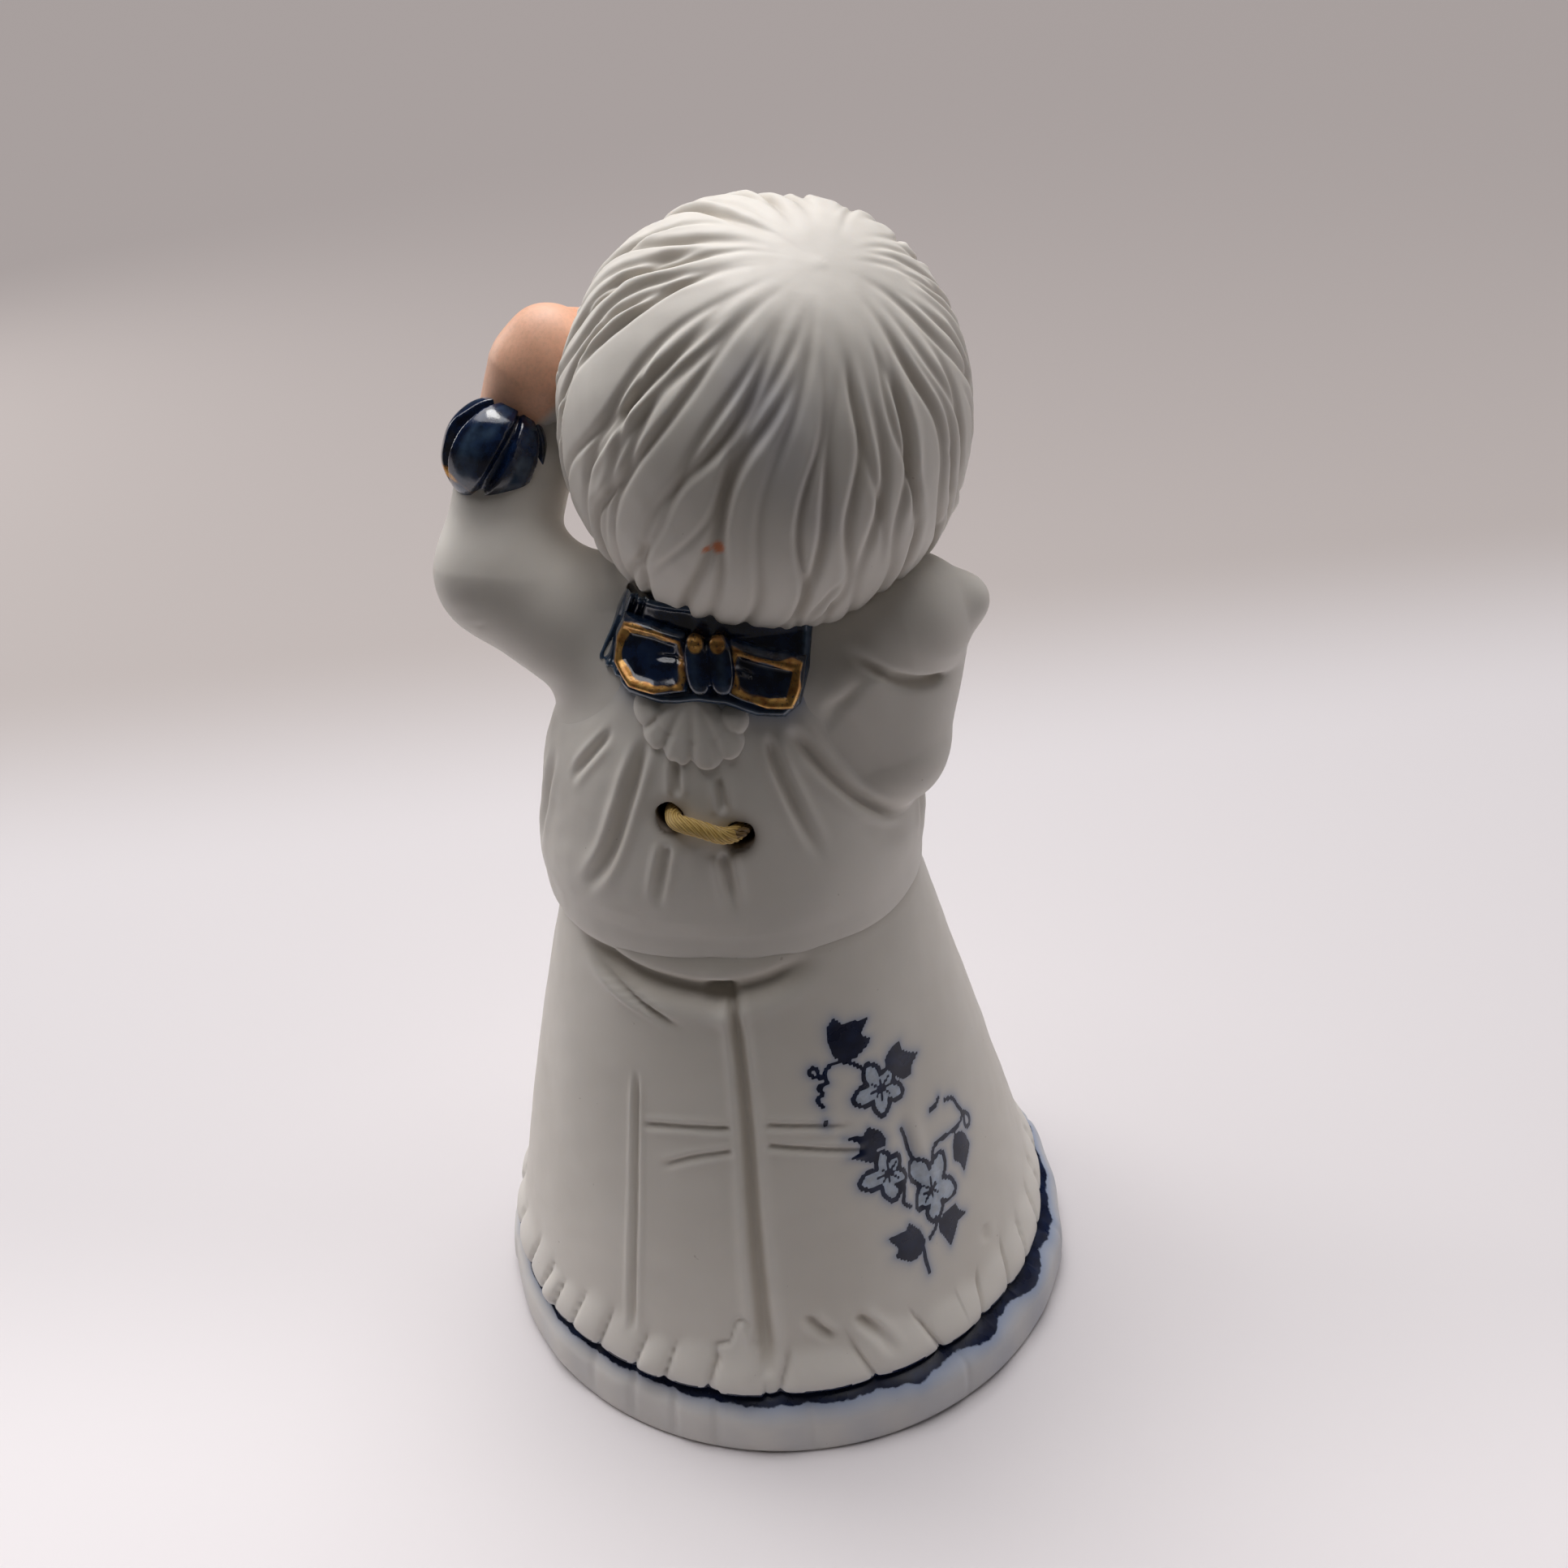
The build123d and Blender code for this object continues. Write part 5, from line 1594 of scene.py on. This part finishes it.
@dataclass
class Head:
    """The head and its plain doll's face."""

    material: bpy.types.Material
    centre: Point3 = (-2.3, -0.3, 104.4)
    radius: float = 17.65

    def build(self) -> bpy.types.Object:
        """Builds the head as a closed ball with modelled and painted features."""
        columns, rows = 420, 210
        side = np.concatenate([np.linspace(-150.0, -30.0, 300, endpoint=False),
                np.linspace(-30.0, 210.0, 120, endpoint=False)])
        tilt = np.concatenate([np.linspace(84.0, -50.0, rows - 20), np.linspace(-53.0, -84.0, 20)])
        turn, rise = np.meshgrid(np.radians(side), np.radians(tilt))
        way = np.stack([np.cos(rise) * np.cos(turn), np.cos(rise) * np.sin(turn), np.sin(rise)],
                -1).reshape(-1, 3)
        relief = self.relief(way * self.radius)
        points = np.array(self.centre) + way * (self.radius + relief)[:, None]
        faces = [tuple(reversed(f)) for f in lattice_faces(len(tilt), columns)]
        poles = np.array([[self.centre[0], self.centre[1], self.centre[2] + self.radius],
                [self.centre[0], self.centre[1], self.centre[2] - self.radius]])
        faces = capped(faces, len(tilt), columns)
        obj = new_object("head_visual", np.vstack([points, poles]), faces, self.material,
                ["head"])
        self.paint(obj)
        return obj

    def relief(self, q: Array) -> Array:
        """How far the features stand out, for points on the ball seen from its centre."""
        x, z = q[:, 0], q[:, 2]
        front = q[:, 1] < 0
        out = 1.35 * np.exp(-((x / 1.35) ** 2) - (((z + 3.2) / 1.25) ** 2))
        out += 0.45 * np.exp(-((x / 1.1) ** 2) - (((z + 1.2) / 2.2) ** 2))
        for s in (-1, 1):
            out -= 0.55 * np.exp(-(((x - s * 4.9) / 2.6) ** 2) - (((z + 0.2) / 1.9) ** 2))
            out += 0.34 * np.exp(-(((x - s * 4.9) / 1.7) ** 2) - (((z + 0.3) / 1.1) ** 2))
            out += 0.75 * np.exp(-(((x - s * 6.8) / 3.2) ** 2) - (((z + 5.6) / 2.8) ** 2))
        out += 0.42 * np.exp(-((x / 1.5) ** 2) - (((z + 6.25) / 0.55) ** 2))
        out += 0.46 * np.exp(-((x / 1.2) ** 2) - (((z + 7.45) / 0.60) ** 2))
        out -= 0.30 * np.exp(-((x / 1.7) ** 2) - (((z + 6.85 - 0.10 * x * x * 0.4) / 0.22) ** 2))
        out += 0.8 * np.exp(-((x / 2.6) ** 2) - (((z + 10.6) / 1.8) ** 2))
        return out * front

    def paint(self, obj: bpy.types.Object) -> None:
        """Paints brows, lashes, eyes, blush and lips."""
        q = where(obj) - np.array(self.centre)
        flat, front = q[:, [0, 2]], q[:, 1] < 0
        dark, rose, iris, white, glint = (np.zeros(len(q)) for _ in range(5))
        for s in (-1, 1):
            eye = (s * 4.9, -0.3)
            almond = outline_distance(flat, [(eye[0] - 1.75, eye[1] - 0.15), (eye[0] - 0.9, eye[1] + 0.75),
                    (eye[0], eye[1] + 1.0), (eye[0] + 0.9, eye[1] + 0.75),
                    (eye[0] + 1.75, eye[1] - 0.15), (eye[0] + 0.8, eye[1] - 0.75),
                    (eye[0] - 0.8, eye[1] - 0.75)])
            white = np.maximum(white, 1 - ease(almond, -0.1, 0.1))
            ring = np.hypot(flat[:, 0] - eye[0], flat[:, 1] - eye[1] - 0.08)
            iris = np.maximum(iris, (1 - ease(ring, 0.72, 0.86)) * (almond < 0))
            dark = np.maximum(dark, (1 - ease(ring, 0.30, 0.42)) * (almond < 0))
            glint = np.maximum(glint, 1 - ease(
                    np.hypot(flat[:, 0] - eye[0] + 0.22, flat[:, 1] - eye[1] - 0.32), 0.10, 0.2))
            lid = rounded_line([(eye[0] - 1.9, eye[1] - 0.2), (eye[0] - 0.9, eye[1] + 0.85),
                    (eye[0], eye[1] + 1.1), (eye[0] + 0.9, eye[1] + 0.85), (eye[0] + 1.9, eye[1] - 0.2)])
            d, along = line_distance(flat, lid)
            dark = np.maximum(dark, 1 - ease(d - 0.10 * np.sin(np.pi * along), 0.06, 0.2))
            brow = rounded_line([(s * 2.9, 2.6), (s * 4.6, 3.35), (s * 6.6, 2.7)])
            d, along = line_distance(flat, brow)
            dark = np.maximum(dark, 0.75 * (1 - ease(d - 0.08 * np.sin(np.pi * along), 0.06, 0.28)))
            rose = np.maximum(rose, 0.45 * np.exp(-(np.hypot(flat[:, 0] - s * 7.0, flat[:, 1] + 5.4)
                    / 2.3) ** 2))
        lips = outline_distance(flat, [(-1.7, -6.8), (-0.8, -6.15), (0.0, -6.35), (0.8, -6.15), (1.7, -6.8),
                (0.8, -7.75), (-0.8, -7.75)])
        rose = np.maximum(rose, 0.95 * (1 - ease(lips, -0.12, 0.15)))
        zero = np.zeros(len(q))
        stain(obj, "face", [dark * front, rose * front, zero])
        stain(obj, "eyes", [iris * front, white * front, glint * front])


# ------------------------------------------------------------------ cord, knots and bead
class TwistTree:
    """A Geometry Nodes tree that lays twisted yarns along a curve."""

    def __init__(self, material: bpy.types.Material) -> None:
        """Builds the tree once, with its sizes as named inputs."""
        self.tree = bpy.data.node_groups.new("twisted_cord", "GeometryNodeTree")
        face = self.tree.interface
        face.new_socket("Geometry", in_out="INPUT", socket_type="NodeSocketGeometry")
        self.ids = {}
        for name, value in (("Yarn radius", 0.0003), ("Lay radius", 0.0005), ("Pitch", 0.004),
                ("Step", 0.0002), ("Stain", 0.0)):
            socket = face.new_socket(name, in_out="INPUT", socket_type="NodeSocketFloat")
            socket.default_value = value
            self.ids[name] = socket.identifier
        socket = face.new_socket("Yarns", in_out="INPUT", socket_type="NodeSocketInt")
        socket.default_value = 6
        self.ids["Yarns"] = socket.identifier
        face.new_socket("Geometry", in_out="OUTPUT", socket_type="NodeSocketGeometry")
        self.lay(material)

    def node(self, kind: str, setting: tuple[str, str] | None = None, **inputs: object) -> bpy.types.Node:
        """Adds a node with one of its settings and fills or joins its inputs, named with underscores."""
        node = self.tree.nodes.new(kind)
        if setting:
            setattr(node, *setting)
        for key, value in inputs.items():
            socket = node.inputs[key.replace("_", " ")]
            if isinstance(value, bpy.types.NodeSocket):
                self.tree.links.new(value, socket)
            else:
                socket.default_value = value
        return node

    def calc(self, kind: str, a: object, b: object = 0.0) -> bpy.types.NodeSocket:
        """A Math node."""
        node = self.tree.nodes.new("ShaderNodeMath")
        node.operation = kind
        for value, socket in zip((a, b), node.inputs):
            if isinstance(value, bpy.types.NodeSocket):
                self.tree.links.new(value, socket)
            else:
                socket.default_value = value
        return node.outputs[0]

    def scale(self, vector: bpy.types.NodeSocket, by: bpy.types.NodeSocket) -> bpy.types.NodeSocket:
        """A vector times a number."""
        node = self.tree.nodes.new("ShaderNodeVectorMath")
        node.operation = "SCALE"
        self.tree.links.new(vector, node.inputs[0])
        self.tree.links.new(by, node.inputs["Scale"])
        return node.outputs[0]

    def lay(self, material: bpy.types.Material) -> None:
        """Resamples the curve, makes one copy for each yarn, winds the copies and gives them thickness."""
        links = self.tree.links
        start = self.tree.nodes.new("NodeGroupInput")
        end = self.tree.nodes.new("NodeGroupOutput")
        resample = self.node("GeometryNodeResampleCurve", ("mode", "LENGTH"), Curve=start.outputs["Geometry"],
                Length=start.outputs["Step"])
        copies = self.node("GeometryNodeDuplicateElements", ("domain", "SPLINE"),
                Geometry=resample.outputs["Curve"], Amount=start.outputs["Yarns"])
        along = self.tree.nodes.new("GeometryNodeSplineParameter")
        part = self.calc("DIVIDE", copies.outputs["Duplicate Index"], start.outputs["Yarns"])
        turns = self.calc("ADD", self.calc("DIVIDE", along.outputs["Length"], start.outputs["Pitch"]), part)
        angle = self.calc("MULTIPLY", turns, 2 * math.pi)
        normal = self.tree.nodes.new("GeometryNodeInputNormal")
        tangent = self.tree.nodes.new("GeometryNodeInputTangent")
        cross = self.tree.nodes.new("ShaderNodeVectorMath")
        cross.operation = "CROSS_PRODUCT"
        links.new(tangent.outputs[0], cross.inputs[0])
        links.new(normal.outputs[0], cross.inputs[1])
        radius = start.outputs["Lay radius"]
        add = self.tree.nodes.new("ShaderNodeVectorMath")
        add.operation = "ADD"
        links.new(self.scale(normal.outputs[0], self.calc("MULTIPLY", self.calc("COSINE", angle), radius)),
                add.inputs[0])
        links.new(self.scale(cross.outputs[0], self.calc("MULTIPLY", self.calc("SINE", angle), radius)),
                add.inputs[1])
        wind = self.node("GeometryNodeSetPosition", Geometry=copies.outputs["Geometry"],
                Offset=add.outputs[0])
        ring = self.node("GeometryNodeCurvePrimitiveCircle", Radius=start.outputs["Yarn radius"])
        ring.inputs["Resolution"].default_value = 10
        share = self.tree.nodes.new("GeometryNodeSplineParameter")
        round_it = self.node("GeometryNodeStoreNamedAttribute", Geometry=ring.outputs["Curve"], Name="around",
                Value=share.outputs["Factor"])
        tube = self.node("GeometryNodeCurveToMesh", Curve=wind.outputs["Geometry"],
                Profile_Curve=round_it.outputs["Geometry"], Fill_Caps=True)
        stained = self.node("GeometryNodeStoreNamedAttribute", Geometry=tube.outputs["Mesh"], Name="stained",
                Value=start.outputs["Stain"])
        smooth = self.node("GeometryNodeSetShadeSmooth", Geometry=stained.outputs["Geometry"])
        real = self.node("GeometryNodeRealizeInstances", Geometry=smooth.outputs["Geometry"])
        dressed = self.node("GeometryNodeSetMaterial", Geometry=real.outputs["Geometry"], Material=material)
        links.new(dressed.outputs["Geometry"], end.inputs["Geometry"])

    def wind(self, name: str, route: Sequence[Point3], yarn: float, lay: float, pitch: float, yarns: int,
            stain_amount: float = 0.0) -> bpy.types.Mesh:
        """Lays yarns along a smooth route.

        Args:
            name: the mesh's name.
            route: the route's control points in millimetres.
            yarn: radius of one yarn.
            lay: how far a yarn's middle lies from the route.
            pitch: length of one turn.
            yarns: how many yarns.
            stain_amount: how brown it is, from 0 to 1.

        Returns:
            A plain mesh in metres.
        """
        curve = bpy.data.curves.new(name, "CURVE")
        curve.dimensions = "3D"
        spline = curve.splines.new("NURBS")
        spline.points.add(len(route) - 1)
        for point, place in zip(spline.points, route):
            point.co = (*(c * MM for c in place), 1.0)
        spline.order_u = min(3, len(route))
        spline.use_endpoint_u = True
        spline.resolution_u = 16
        host = bpy.data.objects.new(name, curve)
        bpy.context.scene.collection.objects.link(host)
        modifier = host.modifiers.new("twist", "NODES")
        modifier.node_group = self.tree
        values = {"Yarn radius": yarn * MM, "Lay radius": lay * MM, "Pitch": pitch * MM, "Step": 0.16 * MM,
                "Stain": stain_amount, "Yarns": yarns}
        for key, value in values.items():
            modifier[self.ids[key]] = value
        made = bpy.data.meshes.new_from_object(host.evaluated_get(bpy.context.evaluated_depsgraph_get()))
        bpy.data.objects.remove(host)
        made.name = name
        return made


def piece_from(name: str, meshes: Sequence[bpy.types.Mesh]) -> bpy.types.Object:
    """One object from several meshes, with the yarns' attributes kept."""
    objects = []
    for mesh in meshes:
        obj = bpy.data.objects.new(name, mesh)
        bpy.context.scene.collection.objects.link(obj)
        objects.append(obj)
    if len(objects) > 1:
        with bpy.context.temp_override(active_object=objects[0], selected_editable_objects=objects,
                selected_objects=objects, object=objects[0]):
            bpy.ops.object.join()
    objects[0].name = name
    return objects[0]


@dataclass
class Stringing:
    """The cord stitched through the back, its strands inside, the knots and the bead."""

    tree: TwistTree
    cord: bpy.types.Material
    bead_material: bpy.types.Material
    hinge_y: float = 14.146
    left: Point2 = (6.75, 70.75)
    right: Point2 = (0.05, 69.05)
    outside_y: float = 18.95
    gather: Point3 = (3.4, 14.146, 61.4)
    bead: Point3 = (3.4, 14.146, 19.0)
    bead_radius: float = 7.0

    def build(self) -> None:
        """Builds every cord piece and the bead."""
        inside = self.hinge_y + 1.2
        lx, lz = self.left
        rx, rz = self.right
        mid = ((lx + rx) / 2, (lz + rz) / 2)
        out = self.outside_y
        stitch = [(lx, inside, lz), (lx - 0.1, out - 2.4, lz + 0.35), (lx - 0.55, out - 0.55, lz + 0.45),
                (lx - 1.7, out + 0.12, lz + 0.45), (mid[0], out + 0.20, mid[1] + 0.85),
                (rx + 1.7, out + 0.10, rz + 0.95), (rx + 0.55, out - 0.5, rz + 0.75),
                (rx + 0.1, out - 2.4, rz + 0.2), (rx, inside, rz)]
        body = self.tree.wind("cord_stitch_visual", stitch, 0.30, 0.56, 5.2, 7)
        core = self.tree.wind("core", stitch, 0.42, 0.0, 5.2, 1, 0.25)
        end = self.tree.wind("frayed_end", [(rx - 0.6, 16.2, rz + 0.4), (rx - 0.5, 18.0, rz + 0.9),
                (rx - 0.1, 18.7, rz + 1.0), (rx + 0.5, 18.4, rz + 0.9)], 0.24, 0.26, 3.0, 3, 0.85)
        obj = piece_from("cord_stitch_visual", [body, core, end])
        settle(obj, self.cord, ["cord_stitch"])
        strands = []
        for x, z in (self.left, self.right):
            strands.append(self.tree.wind("strand", [(x, self.hinge_y, z), (x * 0.5 + 1.7, self.hinge_y,
                    z - 4.2), (3.4, self.hinge_y, 63.0)], 0.30, 0.52, 5.2, 7))
        settle(piece_from("cord_strands_visual", strands), self.cord, ["cord_strands"], "cord_loop")
        x, y, z = self.gather
        loop = [(x + 1.1 * math.cos(t), y + 1.1 * math.sin(t), z + 0.75 * math.sin(2 * t + 0.5))
                for t in np.linspace(0, 4 * math.pi, 17)]
        knot = self.tree.wind("knot", loop, 0.28, 0.45, 4.5, 5)
        settle(piece_from("gathering_knot_visual", [knot]), self.cord, ["gathering_knot"],
               "cord_loop")
        low = self.bead[2] - 7.6
        lines = [self.tree.wind("line", [(x + s * 0.02, y, z - 2.1), (x, y, 40.0), (x, y, low)], 0.26, 0.62,
                6.5, 5, 0.0 if s < 0 else 0.1) for s in (-1,)]
        lines.append(self.tree.wind("line_core", [(x, y, z - 2.1), (x, y, 40.0), (x, y, low)], 0.5, 0.0, 6.5,
                1))
        settle(piece_from("clapper_line_visual", lines), self.cord, ["doubled_cord"], "clapper_line")
        foot = self.bead[2] - 9.05
        loop = [(x + 1.15 * math.cos(t), y + 1.15 * math.sin(t), foot + 0.8 * math.sin(2 * t))
                for t in np.linspace(0, 4 * math.pi, 17)]
        stopper = [self.tree.wind("stopper", loop, 0.28, 0.45, 4.5, 5)]
        for side in (-1, 1):
            stopper.append(self.tree.wind("tail", [(x, y + side * 0.4, foot - 0.5), (x + 0.3, y + side * 1.2,
                    foot - 3.0), (x - 0.2, y + side * 2.3, foot - 5.4)], 0.24, 0.30, 3.4, 4, 0.2))
        settle(piece_from("stopper_knot_visual", stopper), self.cord, ["stopper_knot"],
               "clapper_line")
        self.build_bead()

    def build_bead(self) -> None:
        """Builds the porcelain bead with its bore, a little uneven and worn round the hole."""
        columns, bore = 96, 1.32
        turn = np.linspace(0, 2 * math.pi, columns, endpoint=False)
        top = math.degrees(math.acos((bore + 0.5) / self.bead_radius))
        rows = []
        for rise in np.linspace(top, -top, 70):
            ring = self.bead_radius * math.cos(math.radians(rise))
            rows.append((ring, self.bead_radius * math.sin(math.radians(rise)) * 0.985))
        half = rows[0][1]
        profile = [(bore, half * 0.93), (bore + 0.12, half * 0.985), *rows, (bore + 0.12, -half * 0.985),
                (bore, -half * 0.93), (bore, -half * 0.3), (bore, half * 0.3)]
        grid = []
        for r, h in profile:
            base = np.stack([r * np.cos(turn), r * np.sin(turn), np.full(columns, h)], 1)
            wobble = 1.0 + (0.006 * clay(base, 6.0, 81) if r > bore + 0.2 else 0.0)
            grid.append(np.array(self.bead) + base * np.stack([np.broadcast_to(wobble, (columns,))] * 3, 1))
        points = np.vstack(grid)
        faces = [tuple(reversed(f)) for f in lattice_faces(len(grid), columns)]
        last = (len(grid) - 1) * columns
        faces += [(c, (c + 1) % columns, last + (c + 1) % columns, last + c) for c in range(columns)]
        obj = new_object("clapper_visual", points, faces, self.bead_material, ["clapper"],
                "clapper_bead")
        p = where(obj)
        near = np.hypot(p[:, 0] - self.bead[0], p[:, 1] - self.bead[1])
        zero = np.zeros(len(p))
        stain(obj, "paint", [zero, zero, zero])
        stain(obj, "wear_and_shade", [0.5 * (1 - ease(near, 1.6, 3.0)), 0.4 * (1 - ease(near, 1.3, 1.9)), zero])


# ------------------------------------------------------------------ studio
@dataclass(frozen=True)
class Studio:
    """A pale floor painted with light and shade, soft lamps above and beyond the bell, and the camera behind
    the child.
    """

    eye: Point3 = (-19.417, 139.675, 146.0)
    forward: Point3 = (0.10554, -0.85957, -0.5)
    right: Point3 = (-0.99437, -0.09573, -0.04532)
    lens: float = 34.66

    def build(self) -> None:
        """Sets up the camera, the sweep and the lamps."""
        data = bpy.data.cameras.new("camera")
        data.lens, data.sensor_width, data.sensor_fit = self.lens, 36.0, "HORIZONTAL"
        data.clip_start, data.clip_end = 0.005, 20.0
        camera = bpy.data.objects.new("camera", data)
        bpy.context.scene.collection.objects.link(camera)
        back = -Vector(self.forward).normalized()
        right = Vector(self.right).normalized()
        up = back.cross(right).normalized()
        right = up.cross(back)
        turn = Matrix((right, up, back)).transposed().to_4x4()
        camera.matrix_world = Matrix.Translation(Vector(self.eye) * MM) @ turn
        bpy.context.scene.camera = camera
        self.floor()
        self.sky()
        self.lamp("left of the child", (0.55, -0.30, 0.30), (0.0, 0.0, 0.07), 0.30, 0.95, (1.0, 0.99, 0.97))
        self.lamp("right of the child", (-0.55, -0.22, 0.26), (0.0, 0.0, 0.07), 0.30, 0.22, (1.0, 0.99, 0.97))
        self.lamp("over the head", (0.02, -0.06, 0.34), (0.0, 0.0, 0.12), 0.10, 0.24, (1.0, 0.985, 0.96))
        world = bpy.data.worlds.new("studio")
        world.use_nodes = True
        world.node_tree.nodes["Background"].inputs["Color"].default_value = (1.0, 0.97, 0.93, 1.0)
        world.node_tree.nodes["Background"].inputs["Strength"].default_value = 0.03
        bpy.context.scene.world = world
        bpy.context.scene.view_settings.view_transform = "Standard"
        bpy.context.scene.view_settings.look = "None"

    def sky(self) -> None:
        """Adds the broad overhead light, which leans over from the child's front."""
        data = bpy.data.lights.new("overhead", "SUN")
        data.energy, data.angle, data.color = 2.45, math.radians(66.0), (1.0, 0.975, 0.985)
        lamp = bpy.data.objects.new("overhead", data)
        bpy.context.scene.collection.objects.link(lamp)
        lamp.rotation_euler = Vector((-0.09, 0.25, -1.0)).to_track_quat("-Z", "Y").to_euler()

    def lamp(self, name: str, at: Point3, aim: Point3, size: float, watts: float, colour: Point3) -> None:
        """Adds a square soft lamp that points at aim, in metres."""
        data = bpy.data.lights.new(name, "AREA")
        data.shape, data.size, data.energy, data.color = "SQUARE", size, watts, colour
        lamp = bpy.data.objects.new(name, data)
        bpy.context.scene.collection.objects.link(lamp)
        lamp.location = at
        lamp.rotation_euler = (Vector(aim) - Vector(at)).to_track_quat("-Z", "Y").to_euler()

    def floor(self) -> None:
        """A pale floor with painted light and shade: grey beyond the bell in place of a wall in shade,
        lighter just on this side of the bell against the bell's own shadow, and dark a little further on this
        side, in place of shade.
        """
        mesh = bpy.data.meshes.new("floor")
        mesh.from_pydata([(-6.0, -6.0, 0.0), (6.0, -6.0, 0.0), (6.0, 4.0, 0.0), (-6.0, 4.0, 0.0)], [],
                [(0, 1, 2, 3)])
        floor = bpy.data.objects.new("floor", mesh)
        bpy.context.scene.collection.objects.link(floor)
        net = Net("floor_painted_light_and_shade")
        split = net.nodes.new("ShaderNodeSeparateXYZ")
        net.join(net.place, split.inputs[0])
        x, y = split.outputs["X"], split.outputs["Y"]
        # Painted shade: the floor turns grey beyond the bell, standing in for a wall in shade.
        far = net.band(net.math("SUBTRACT", y, net.math("MULTIPLY", x, 0.27)), -0.105, -0.21)
        # Painted light: a lighter band just on this side of the bell, lifting the bell's own shadow.
        painted_light_pool = net.band(y, 0.0, 0.045)
        tone = net.mix(far, net.mix(painted_light_pool, (0.715, 0.685, 0.70), (0.86, 0.825, 0.84)), (0.50, 0.455, 0.44))
        # Painted shade: the floor turns dark a little further on this side, where shade is painted in place
        # of light.
        near = net.band(y, 0.052, 0.12)
        tone = net.mix(near, tone, (0.10, 0.095, 0.09))
        net.use(Base_Color=tone)
        net.set(Roughness=0.8, Specular_IOR_Level=0.2)
        mesh.materials.append(net.material)


class Glaze(Enum):
    """The finishes of the bell's pieces."""

    WHITE = "white_bisque"
    COBALT = "cobalt_glaze"
    FLESH = "flesh_enamel"
    CORD = "cord"
    BEAD = "clapper_bisque"


def main() -> None:
    """Builds the studio and every piece in order, and reports each through the log."""
    logging.basicConfig(level=logging.INFO, format="%(name)s: %(message)s")
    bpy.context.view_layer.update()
    finishes = {
        Glaze.WHITE: Bisque().make(),
        Glaze.COBALT: CobaltGlaze().make(),
        Glaze.FLESH: FleshEnamel().make(),
        Glaze.CORD: RayonCord().make(),
        Glaze.BEAD: Bisque(white=(0.78, 0.75, 0.70), roughness=0.5).make("clapper_bisque"),
    }
    white, cobalt, flesh = finishes[Glaze.WHITE], finishes[Glaze.COBALT], finishes[Glaze.FLESH]
    Studio().build()
    Stringing(TwistTree(finishes[Glaze.CORD]), finishes[Glaze.CORD], finishes[Glaze.BEAD]).build()
    Skirt(white).build()
    blouse = Blouse(white)
    blouse.build()
    Head(flesh).build()
    # The hair's hollows take a darker colour, for dirt and painted shade together.
    Hair(Bisque(soil_and_shade=(0.36, 0.31, 0.25), blot=(0.70, 0.20, 0.06)).make("hair_bisque")).build()
    LeftSleeve(blouse).build(white)
    RightSleeve(blouse).build(white)
    Cuff("left_cuff_visual", ("left_cuff",), (24.4, -0.2, 101.8), (-0.56, -0.22, 0.80), (5.0, 5.1, 5.3),
         pleats=6).build(cobalt)
    Cuff("right_cuff_visual", ("right_cuff",), (-7.9, -12.9, 84.6), (0.72, -0.66, 0.1),
         (4.7, 4.7, 3.3)).build(cobalt)
    LeftHand().build(flesh)
    RightHand().build(flesh)
    BackCollar(blouse).build(cobalt)
    BowLoop(blouse, name="bow_loop_left_visual", nodes=("bow_loop_left",), pinch=(4.6, 86.4),
            outline=((11.0, 89.0), (7.6, 89.0), (4.6, 88.5), (4.0, 86.2), (4.4, 83.7), (7.6, 83.0),
            (10.4, 83.2), (12.2, 85.0), (12.0, 87.2))).build(cobalt)
    BowLoop(blouse, name="bow_loop_right_visual", nodes=("bow_loop_right",), pinch=(0.2, 85.8),
            outline=((0.4, 88.2), (-2.6, 87.2), (-6.6, 86.0), (-6.3, 83.6), (-5.6, 81.7), (-3.0, 82.0),
            (-0.6, 83.0), (0.6, 83.6), (0.8, 86.0))).build(cobalt)
    BowKnot(blouse).build(cobalt)
    FrontCollar(blouse).build(cobalt)
    NeckFrill(blouse).build(white)
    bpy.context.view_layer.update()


if __name__ == "__main__":
    main()
